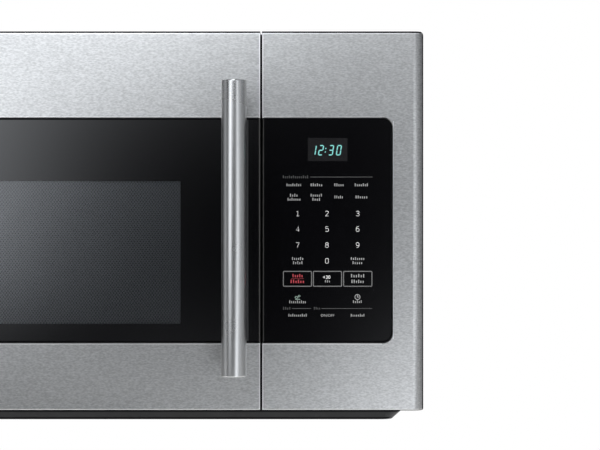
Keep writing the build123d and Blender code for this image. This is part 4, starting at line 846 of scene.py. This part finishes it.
# Lit segments of each digit: top, upper left, upper right, middle, lower left, lower right, bottom.
SEGMENTS = {"1": "0010010", "2": "1011101", "3": "1011011", "0": "1110111"}


def raise_print(piece, height):
    """Give a flat print its thickness, towards the viewer."""
    clear_selection()
    piece.select_set(True)
    apply_modifier(piece, "SOLIDIFY", thickness=height, offset=1)


def finish_print(piece, height, material):
    """Thicken a flat print and fit it out on the cabinet."""
    raise_print(piece, height)
    fit_out(piece, "cabinet", material)


def flat_block(name, x, z, round_by, y=GLASS_FRONT):
    """A small flat block with rounded corners, in millimetres."""
    piece = start_plane(name, span(*x), span(*z), y)
    edit_all()
    bpy.ops.mesh.bevel(offset=round_by * MM, segments=2, affect="VERTICES")
    bpy.ops.object.mode_set(mode="OBJECT")
    return piece


def open_middle(border):
    """Cut the middle out of the active flat piece and leave its border."""
    edit_all()
    bpy.ops.mesh.inset(thickness=border)
    bpy.ops.mesh.delete(type="FACE")
    bpy.ops.object.mode_set(mode="OBJECT")


def flat_ring(x, z, radius, border, vertices):
    """A small flat ring, in millimetres."""
    clear_selection()
    bpy.ops.mesh.primitive_circle_add(
        vertices=vertices, radius=radius * MM, fill_type="NGON", rotation=(math.pi / 2, 0, 0),
        location=(x * MM, GLASS_FRONT, z * MM),
    )
    open_middle(border * MM)
    return bpy.context.object


def text_piece(name, body, size, place):
    """Printed characters, centred on a point of the glass, as a mesh."""
    clear_selection()
    bpy.ops.object.text_add(rotation=(math.pi / 2, 0, 0))
    text = bpy.context.object.data
    text.body = body
    text.size = size
    text.align_x = "CENTER"
    text.align_y = "CENTER"
    text.resolution_u = 3
    bpy.ops.object.convert(target="MESH")
    piece = bpy.context.object
    piece.name = name
    piece.location = (0, 0, 0)
    settle()
    xs = [v.co.x for v in piece.data.vertices]
    zs = [v.co.z for v in piece.data.vertices]
    middle = Vector(((min(xs) + max(xs)) / 2, 0, (min(zs) + max(zs)) / 2))
    piece.location = Vector((place[0] * MM, GLASS_FRONT, place[1] * MM)) - middle
    settle()
    return piece


def stroke_digit(mark, x, z, size, stroke):
    """A printed digit of even flattened strokes, centred on a point of the glass, as a mesh."""
    clear_selection()
    bpy.ops.curve.primitive_nurbs_path_add()
    path = bpy.context.object.data
    path.splines.clear()
    for style, lines in enumerate(DIGIT_STROKES[mark]):
        for line in lines:
            spline = path.splines.new("NURBS" if style else "POLY")
            spline.points.add(len(line) - 1)
            for point, (across, up) in zip(spline.points, line):
                point.co = ((across / 4 - 0.5) * size[0], 0, (up / 8 - 0.5) * size[1], 1)
            if style:
                spline.order_u = 3
                spline.use_endpoint_u = style == 1
                spline.use_cyclic_u = style == 2
                spline.resolution_u = 5
    path.bevel_depth = stroke / 2
    path.bevel_resolution = 1
    path.use_fill_caps = True
    bpy.ops.object.convert(target="MESH")
    piece = bpy.context.object
    piece.scale = (1, DIGIT_FLATNESS, 1)
    piece.location = (x * MM, GLASS_FRONT, z * MM)
    settle()
    return piece


class MICROWAVE_OT_key_digits(bpy.types.Operator):
    """Printed number keys, and the plus thirty of the middle key"""

    bl_idname = "microwave.key_digits"
    bl_label = "Key Digits"

    def execute(self, context):
        sizes = context.scene.microwave_sizes
        stroke = sizes.digit_stroke
        size = (sizes.digit_height * DIGIT_WIDTH - stroke, sizes.digit_height - stroke)
        places = [*((x, z) for z in DIGIT_ROWS for x in DIGIT_COLUMNS), ZERO_PLACE]
        thirty = text_piece("digit", "+30", sizes.digit_height * THIRTY_HEIGHT, THIRTY_PLACE)
        raise_print(thirty, sizes.print_height)
        pieces = [stroke_digit(mark, *place, size, stroke) for mark, place in zip("1234567890", places)]
        digits = join_pieces("key_digits", [thirty, *pieces])
        colour = context.scene.microwave_colours.digit
        fit_out(digits, "cabinet", printed("digit_print", colour))
        return {"FINISHED"}


def label_marks(name, labels):
    """Rows of small rounded blocks that stand where the words are printed."""
    pieces = []
    for row, (start, end, middle, cap) in enumerate(labels):
        count = max(2, round((end - start) / (cap * LETTER_PITCH)))
        pitch = (end - start) / count
        foot = middle - cap * LETTER_FOOT
        for step in range(count):
            # The first letter and, in a steady rhythm, some others are tall.
            tall = step == 0 or (step * 5 + row * 3) % 7 in (1, 4)
            top = foot + cap * (LETTER_TALL if tall else LETTER_LOW)
            sides = [start + (step + side) * pitch for side in LETTER_SIDES]
            pieces.append(flat_block(name, sides, (foot, top), LETTER_ROUND))
    return join_pieces(name, pieces)


class MICROWAVE_OT_key_labels(bpy.types.Operator):
    """Small printed marks where the key labels stand"""

    bl_idname = "microwave.key_labels"
    bl_label = "Key Labels"

    def execute(self, context):
        colours = context.scene.microwave_colours
        height = context.scene.microwave_sizes.print_height
        groups = (
            ("key_labels", LABELS, colours.label),
            ("stop_labels", STOP_LABELS, colours.stop),
            ("group_headings", DIM_LABELS, colours.dim),
        )
        for name, labels, colour in groups:
            marks = label_marks(name, labels)
            if name == "key_labels":
                words = text_piece("on_off", "ON/OFF", ON_OFF_HEIGHT * MM, ON_OFF_PLACE)
                marks = join_pieces(name, [marks, words])
            finish_print(marks, height, printed(name + "_print", colour))
        return {"FINISHED"}


class MICROWAVE_OT_key_outlines(bpy.types.Operator):
    """Frames of the three wide keys and the thin rules between groups"""

    bl_idname = "microwave.key_outlines"
    bl_label = "Key Outlines"

    def execute(self, context):
        sizes = context.scene.microwave_sizes
        colours = context.scene.microwave_colours
        height = sizes.print_height
        frames = []
        for x in FRAMES_X:
            frames.append(flat_block("outline", x, FRAMES_Z, FRAME_ROUND))
            open_middle(sizes.outline_width)
        outlines = join_pieces("key_outlines", frames)
        finish_print(outlines, height, printed("outline_print", colours.outline))
        rules = [
            flat_block("rule", (x0, x1), (z - RULE_HALF, z + RULE_HALF), round_by=0.2)
            for x0, x1, z in RULES
        ]
        finish_print(join_pieces("group_rules", rules), height, printed("rule_print", colours.dim))
        divider = flat_block("stop_divider", *STOP_RULE, round_by=0.1)
        finish_print(divider, height, printed("divider_print", shade(colours.stop, 0.5)))
        return {"FINISHED"}


class MICROWAVE_OT_key_icons(bpy.types.Operator):
    """Clock face and leaf marks above the two lower keys"""

    bl_idname = "microwave.key_icons"
    bl_label = "Key Icons"

    def execute(self, context):
        height = context.scene.microwave_sizes.print_height
        colours = context.scene.microwave_colours
        face = flat_ring(*CLOCK_FACE, vertices=32)
        hands = [flat_block("hand", x, z, round_by=0.2) for x, z in CLOCK_HANDS]
        clock = join_pieces("clock_icon", [face, *hands])
        finish_print(clock, height, printed("icon_print", colours.label))
        leaves = []
        for x, z, width in LEAVES:
            leaves.append(flat_ring(x, z, width / 2, LEAF_BORDER, vertices=24))
            leaves[-1].scale = LEAF_SHAPE
        stem = flat_block("stem", *STEM, round_by=0.2)
        leaf = join_pieces("leaf_icon", [*leaves, stem])
        finish_print(leaf, height, printed("leaf_print", colours.eco))
        return {"FINISHED"}


class MICROWAVE_OT_clock(bpy.types.Operator):
    """Display window with its lit clock digits"""

    bl_idname = "microwave.clock"
    bl_label = "Clock"

    def execute(self, context):
        sizes = context.scene.microwave_sizes
        half_print = sizes.print_height * 0.5
        pane = coated(
            "display_pane", (0.011, 0.011, 0.012), 0.12, scale=900, spread=0.1, relief=0.03, ior=1.45
        )
        window = flat_block("display_window", *DISPLAY, round_by=0.6)
        finish_print(window, half_print, pane)

        height, half = sizes.clock_height, sizes.clock_stroke / 2
        foot = CLOCK_FOOT * MM
        face = GLASS_FRONT - half_print
        pieces = []

        def bar(x0, z0, x1, z1):
            """One six-sided segment between two points."""
            gap = 0.12 * MM
            if abs(z1 - z0) > abs(x1 - x0):
                pieces.append(start_plane("segment", (x0 - half, x0 + half), (z0 + gap, z1 - gap), face))
            else:
                pieces.append(start_plane("segment", (x0 + gap, x1 - gap), (z0 - half, z0 + half), face))
            edit_all()
            bpy.ops.mesh.bevel(offset=half * 0.95, segments=1, affect="VERTICES")
            bpy.ops.object.mode_set(mode="OBJECT")

        for mark, left in CLOCK_DIGITS:
            x0, x1 = left * MM + half, (left + CLOCK_WIDTH) * MM - half
            z0, z2 = foot + half, foot + height - half
            z1 = (z0 + z2) / 2
            lines = (
                (x0, z2, x1, z2), (x0, z1, x0, z2), (x1, z1, x1, z2), (x0, z1, x1, z1),
                (x0, z0, x0, z1), (x1, z0, x1, z1), (x0, z0, x1, z0),
            )
            for lit_up, line in zip(SEGMENTS[mark], lines):
                if lit_up == "1":
                    bar(*line)
        for z in COLON_DOTS:
            pieces.append(flat_block("colon", COLON_X, (z - COLON_HALF, z + COLON_HALF), 0.3, face))
        digits = join_pieces("clock_digits", pieces)
        bpy.ops.object.mode_set(mode="EDIT")
        mesh = bmesh.from_edit_mesh(digits.data)
        for vertex in mesh.verts:
            vertex.co.x += (vertex.co.z - foot - height / 2) * CLOCK_SLANT
        bmesh.update_edit_mesh(digits.data)
        bpy.ops.object.mode_set(mode="OBJECT")
        light = lit("clock_light", context.scene.microwave_colours.clock)
        finish_print(digits, half_print, light)
        return {"FINISHED"}


# ---- grease filters ----
FILTER_CELL = (4.0, 2.2)  # half of a mesh opening across and deep, in millimetres
FILTER_RIM = 18  # both sides of the filter's frame together, in millimetres
FILTER_RISE = 0.35  # how far a strand's inner edge stands over its outer edge, in millimetres
FILTER_DEPTH = 1.2  # how far the mesh lies above the frame's under side, in millimetres
FILTER_SHEET = 0.3  # thickness of the expanded sheet, in millimetres


class MICROWAVE_OT_filter_mesh(bpy.types.Operator):
    """Expanded metal let into the under side of each grease filter"""

    bl_idname = "microwave.filter_mesh"
    bl_label = "Filter Mesh"

    def execute(self, context):
        strand = context.scene.microwave_sizes.strand
        half_x, half_y = [half * MM for half in FILTER_CELL]
        finish = coated("filter_strands", (0.70, 0.70, 0.71), 0.3, 1.0, 900, 0.06, 0.2)
        for side in ("left", "right"):
            low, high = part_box("grease_filter_" + side)
            clear_selection()
            bpy.ops.mesh.primitive_circle_add(vertices=4, radius=1, fill_type="NGON")
            cell = bpy.context.object
            cell.scale = (half_x, half_y, 1)
            settle()
            edit_all()
            bpy.ops.mesh.inset(thickness=strand / 2)
            bpy.ops.transform.translate(value=(0, 0, FILTER_RISE * MM))
            bpy.ops.mesh.delete(type="FACE")
            bpy.ops.object.mode_set(mode="OBJECT")
            columns = int((high.x - low.x - FILTER_RIM * MM) / (2 * half_x))
            rows = int((high.y - low.y - FILTER_RIM * MM) / (2 * half_y))
            repeat(cell, (
                (columns, (2 * half_x, 0, 0)), (2, (half_x, half_y, 0)), (rows, (0, 2 * half_y, 0)),
            ))
            cell.location = (
                (low.x + high.x - (2 * columns - 1) * half_x) / 2,
                (low.y + high.y - (2 * rows - 1) * half_y) / 2,
                low.z + FILTER_DEPTH * MM,
            )
            mesh = join_pieces("filter_mesh_" + side, [cell])
            apply_modifier(mesh, "SOLIDIFY", thickness=FILTER_SHEET * MM, offset=0)
            fit_out(mesh, "grease_filter_" + side, finish)
        return {"FINISHED"}


# ---- studio ----
# Soft patches of the reflector in front: X, Z, width, height in metres, and brightness.
PATCHES = (
    (-1.40, -1.30, 0.40, 0.40, 28.0),
    (0.08, -0.50, 0.13, 0.24, 0.8),
    (0.44, -0.50, 0.13, 0.24, 4.0),
    (0.64, -0.22, 0.16, 0.18, 1.4),
    (-0.55, 0.00, 0.24, 0.16, 1.0),
    (-0.30, 0.00, 0.18, 0.16, 1.1),
    (0.90, 0.00, 0.24, 0.16, 1.2),
    (-0.30, 0.22, 0.18, 0.18, 2.1),
    (0.64, 0.22, 0.16, 0.18, 1.4),
    (-0.10, 0.50, 0.15, 0.24, 2.4),
    (0.08, 0.85, 0.13, 0.32, 12.5),
    (0.26, 0.85, 0.13, 0.32, 5.5),
    (1.50, 0.00, 0.55, 3.00, 0.54),
    (2.40, 0.00, 0.30, 3.00, 0.30),
    (-2.00, 0.00, 0.30, 3.00, 0.45),
)
REFLECTOR_SIZE, REFLECTOR_PLACE, REFLECTOR_DEPTH = 4.4, (0.2, -1.2, 0), 3.4
REFLECTOR_TINT = (0.965, 1, 1.05, 1)
REFLECTOR_FADE = (1.0, 0.4, -1.2, 1.2)  # share of the light at the front and at the back, and their Y
FLOOR_SIZE, FLOOR_PLACE, FLOOR_GLOW = 5.0, (0, 0, -0.55), 0.45
# Each lamp: name, place, diameter in metres and power in watts.
LAMPS = (
    ("key_light", (-1.5, -2.4, 1.7), 1.8, 46),
    ("fill_light", (1.9, -2.2, 0.6), 1.6, 26),
    ("top_light", (0.1, -0.6, 2.2), 1.8, 24),
    ("back_light", (-0.6, 2.2, 1.3), 1.8, 30),
)
LAMP_AIM = Vector((0, -0.2, 0))
CAMERA_PLACE, CAMERA_LENS, CAMERA_SENSOR = (0.2433, -2.995, 0.0001), 140.98, 36


class MICROWAVE_OT_studio(bpy.types.Operator):
    """Pale floor, soft lights, reflector and the camera"""

    bl_idname = "microwave.studio"
    bl_label = "Studio"

    def execute(self, context):
        self.lay_floor()
        self.set_reflector()
        self.set_world(context)
        for name, place, size, power in LAMPS:
            clear_selection()
            bpy.ops.object.light_add(type="AREA", location=place)
            lamp = bpy.context.object
            lamp.name = name
            lamp.data.shape = "DISK"
            lamp.data.size = size
            lamp.data.energy = power
            lamp.rotation_euler = (LAMP_AIM - Vector(place)).to_track_quat("-Z", "Y").to_euler()
            lamp.visible_glossy = False
        clear_selection()
        bpy.ops.object.camera_add(location=CAMERA_PLACE, rotation=(math.pi / 2, 0, 0))
        camera = bpy.context.object
        camera.data.sensor_width = CAMERA_SENSOR
        camera.data.lens = CAMERA_LENS
        camera.data.clip_end = 60
        context.scene.camera = camera
        context.scene.view_settings.view_transform = "Standard"
        return {"FINISHED"}

    def lay_floor(self):
        """A white floor well below the oven, which keeps its shadow and is clear from below."""
        clear_selection()
        bpy.ops.mesh.primitive_plane_add(size=FLOOR_SIZE, location=FLOOR_PLACE)
        floor = bpy.context.object
        floor.name = "studio_floor"
        material, tree = new_material("floor_paint")
        rays = add_node(tree, "LightPath").outputs
        seen = arithmetic(tree, "MAXIMUM", rays["Is Camera Ray"], rays["Is Transmission Ray"])
        glow = arithmetic(tree, "MULTIPLY", seen, FLOOR_GLOW)
        paint = add_node(tree, "BsdfDiffuse", {"Color": (0.86, 0.86, 0.86, 1)}).outputs[0]
        light = add_node(tree, "Emission", {"Strength": glow}).outputs[0]
        upper = add_node(tree, "AddShader", {0: paint, 1: light}).outputs[0]
        below = add_node(tree, "NewGeometry").outputs["Backfacing"]
        clear = add_node(tree, "BsdfTransparent").outputs[0]
        show(tree, blend_shaders(tree, below, upper, clear))
        floor.data.materials.append(material)

    def set_reflector(self):
        """A dim box round the front, lit in soft patches, that only polished surfaces see."""
        clear_selection()
        bpy.ops.mesh.primitive_plane_add(
            size=REFLECTOR_SIZE, location=REFLECTOR_PLACE, rotation=(math.pi / 2, 0, 0)
        )
        card = bpy.context.object
        card.name = "reflector"
        settle()
        edit_all()
        bpy.ops.mesh.extrude_region_move(TRANSFORM_OT_translate={"value": (0, REFLECTOR_DEPTH, 0)})
        bpy.ops.mesh.delete(type="FACE")
        bpy.ops.object.mode_set(mode="OBJECT")
        card.visible_camera = False
        card.visible_diffuse = False
        card.visible_transmission = False
        card.visible_shadow = False
        material, tree = new_material("reflector_light")
        place = axes(tree)
        total = 0.0
        for x, z, wide, tall, bright in PATCHES:
            across = arithmetic(tree, "DIVIDE", arithmetic(tree, "SUBTRACT", place["X"], x), wide)
            up = arithmetic(tree, "DIVIDE", arithmetic(tree, "SUBTRACT", place["Z"], z), tall)
            away = arithmetic(tree, "MULTIPLY_ADD", up, up, arithmetic(tree, "MULTIPLY", across, across))
            soft = arithmetic(tree, "EXPONENT", arithmetic(tree, "MULTIPLY", away, -1.0))
            total = arithmetic(tree, "MULTIPLY_ADD", soft, bright, total)
        fade = between(tree, place["Y"], *REFLECTOR_FADE)
        strength = arithmetic(tree, "MULTIPLY", total, fade)
        show(tree, add_node(tree, "Emission", {"Color": REFLECTOR_TINT, "Strength": strength}).outputs[0])
        card.data.materials.append(material)

    def set_world(self, context):
        """White for what is seen and mirrored, softer for what is lit."""
        world = bpy.data.worlds.new("studio_world")
        context.scene.world = world
        world.use_nodes = True
        tree = world.node_tree
        tree.nodes.clear()
        rays = add_node(tree, "LightPath").outputs
        seen = arithmetic(tree, "MAXIMUM", rays["Is Camera Ray"], rays["Is Glossy Ray"])
        seen = arithmetic(tree, "MAXIMUM", seen, rays["Is Transmission Ray"])
        strength = between(tree, seen, 0.5, 1.0, 0.0, 1.0)
        sky = add_node(tree, "Background", {"Color": (1, 1, 1, 1), "Strength": strength}).outputs[0]
        add_node(tree, "OutputWorld", {"Surface": sky})


class MICROWAVE_PT_tools(bpy.types.Panel):
    """The steps that dress the oven, in order."""

    bl_idname = "MICROWAVE_PT_tools"
    bl_label = "Range Microwave"
    bl_space_type = "VIEW_3D"
    bl_region_type = "UI"
    bl_category = "Microwave"

    def draw(self, context):
        layout = self.layout
        for group in (context.scene.microwave_colours, context.scene.microwave_sizes):
            box = layout.box()
            for name in group.bl_rna.properties.keys():
                if name not in ("rna_type", "name"):
                    box.prop(group, name)
        for step in STEPS:
            layout.operator(step.bl_idname)


STEPS = (
    MICROWAVE_OT_front_finishes,
    MICROWAVE_OT_case_finishes,
    MICROWAVE_OT_oven_finishes,
    MICROWAVE_OT_machine_finishes,
    MICROWAVE_OT_exhaust_finishes,
    MICROWAVE_OT_door_screen,
    MICROWAVE_OT_key_digits,
    MICROWAVE_OT_key_labels,
    MICROWAVE_OT_key_outlines,
    MICROWAVE_OT_key_icons,
    MICROWAVE_OT_clock,
    MICROWAVE_OT_filter_mesh,
    MICROWAVE_OT_studio,
)
CLASSES = (MicrowaveColours, MicrowaveSizes, *STEPS, MICROWAVE_PT_tools)


def register():
    """Register the classes and the settings they use."""
    for entry in CLASSES:
        bpy.utils.register_class(entry)
    bpy.types.Scene.microwave_colours = PointerProperty(type=MicrowaveColours)
    bpy.types.Scene.microwave_sizes = PointerProperty(type=MicrowaveSizes)


def unregister():
    """Take the settings and the classes away again."""
    del bpy.types.Scene.microwave_sizes
    del bpy.types.Scene.microwave_colours
    for entry in reversed(CLASSES):
        bpy.utils.unregister_class(entry)


def main():
    """Dress the oven."""
    register()
    for step in STEPS:
        group, name = step.bl_idname.split(".")
        getattr(getattr(bpy.ops, group), name)()


if __name__ == "__main__":
    main()
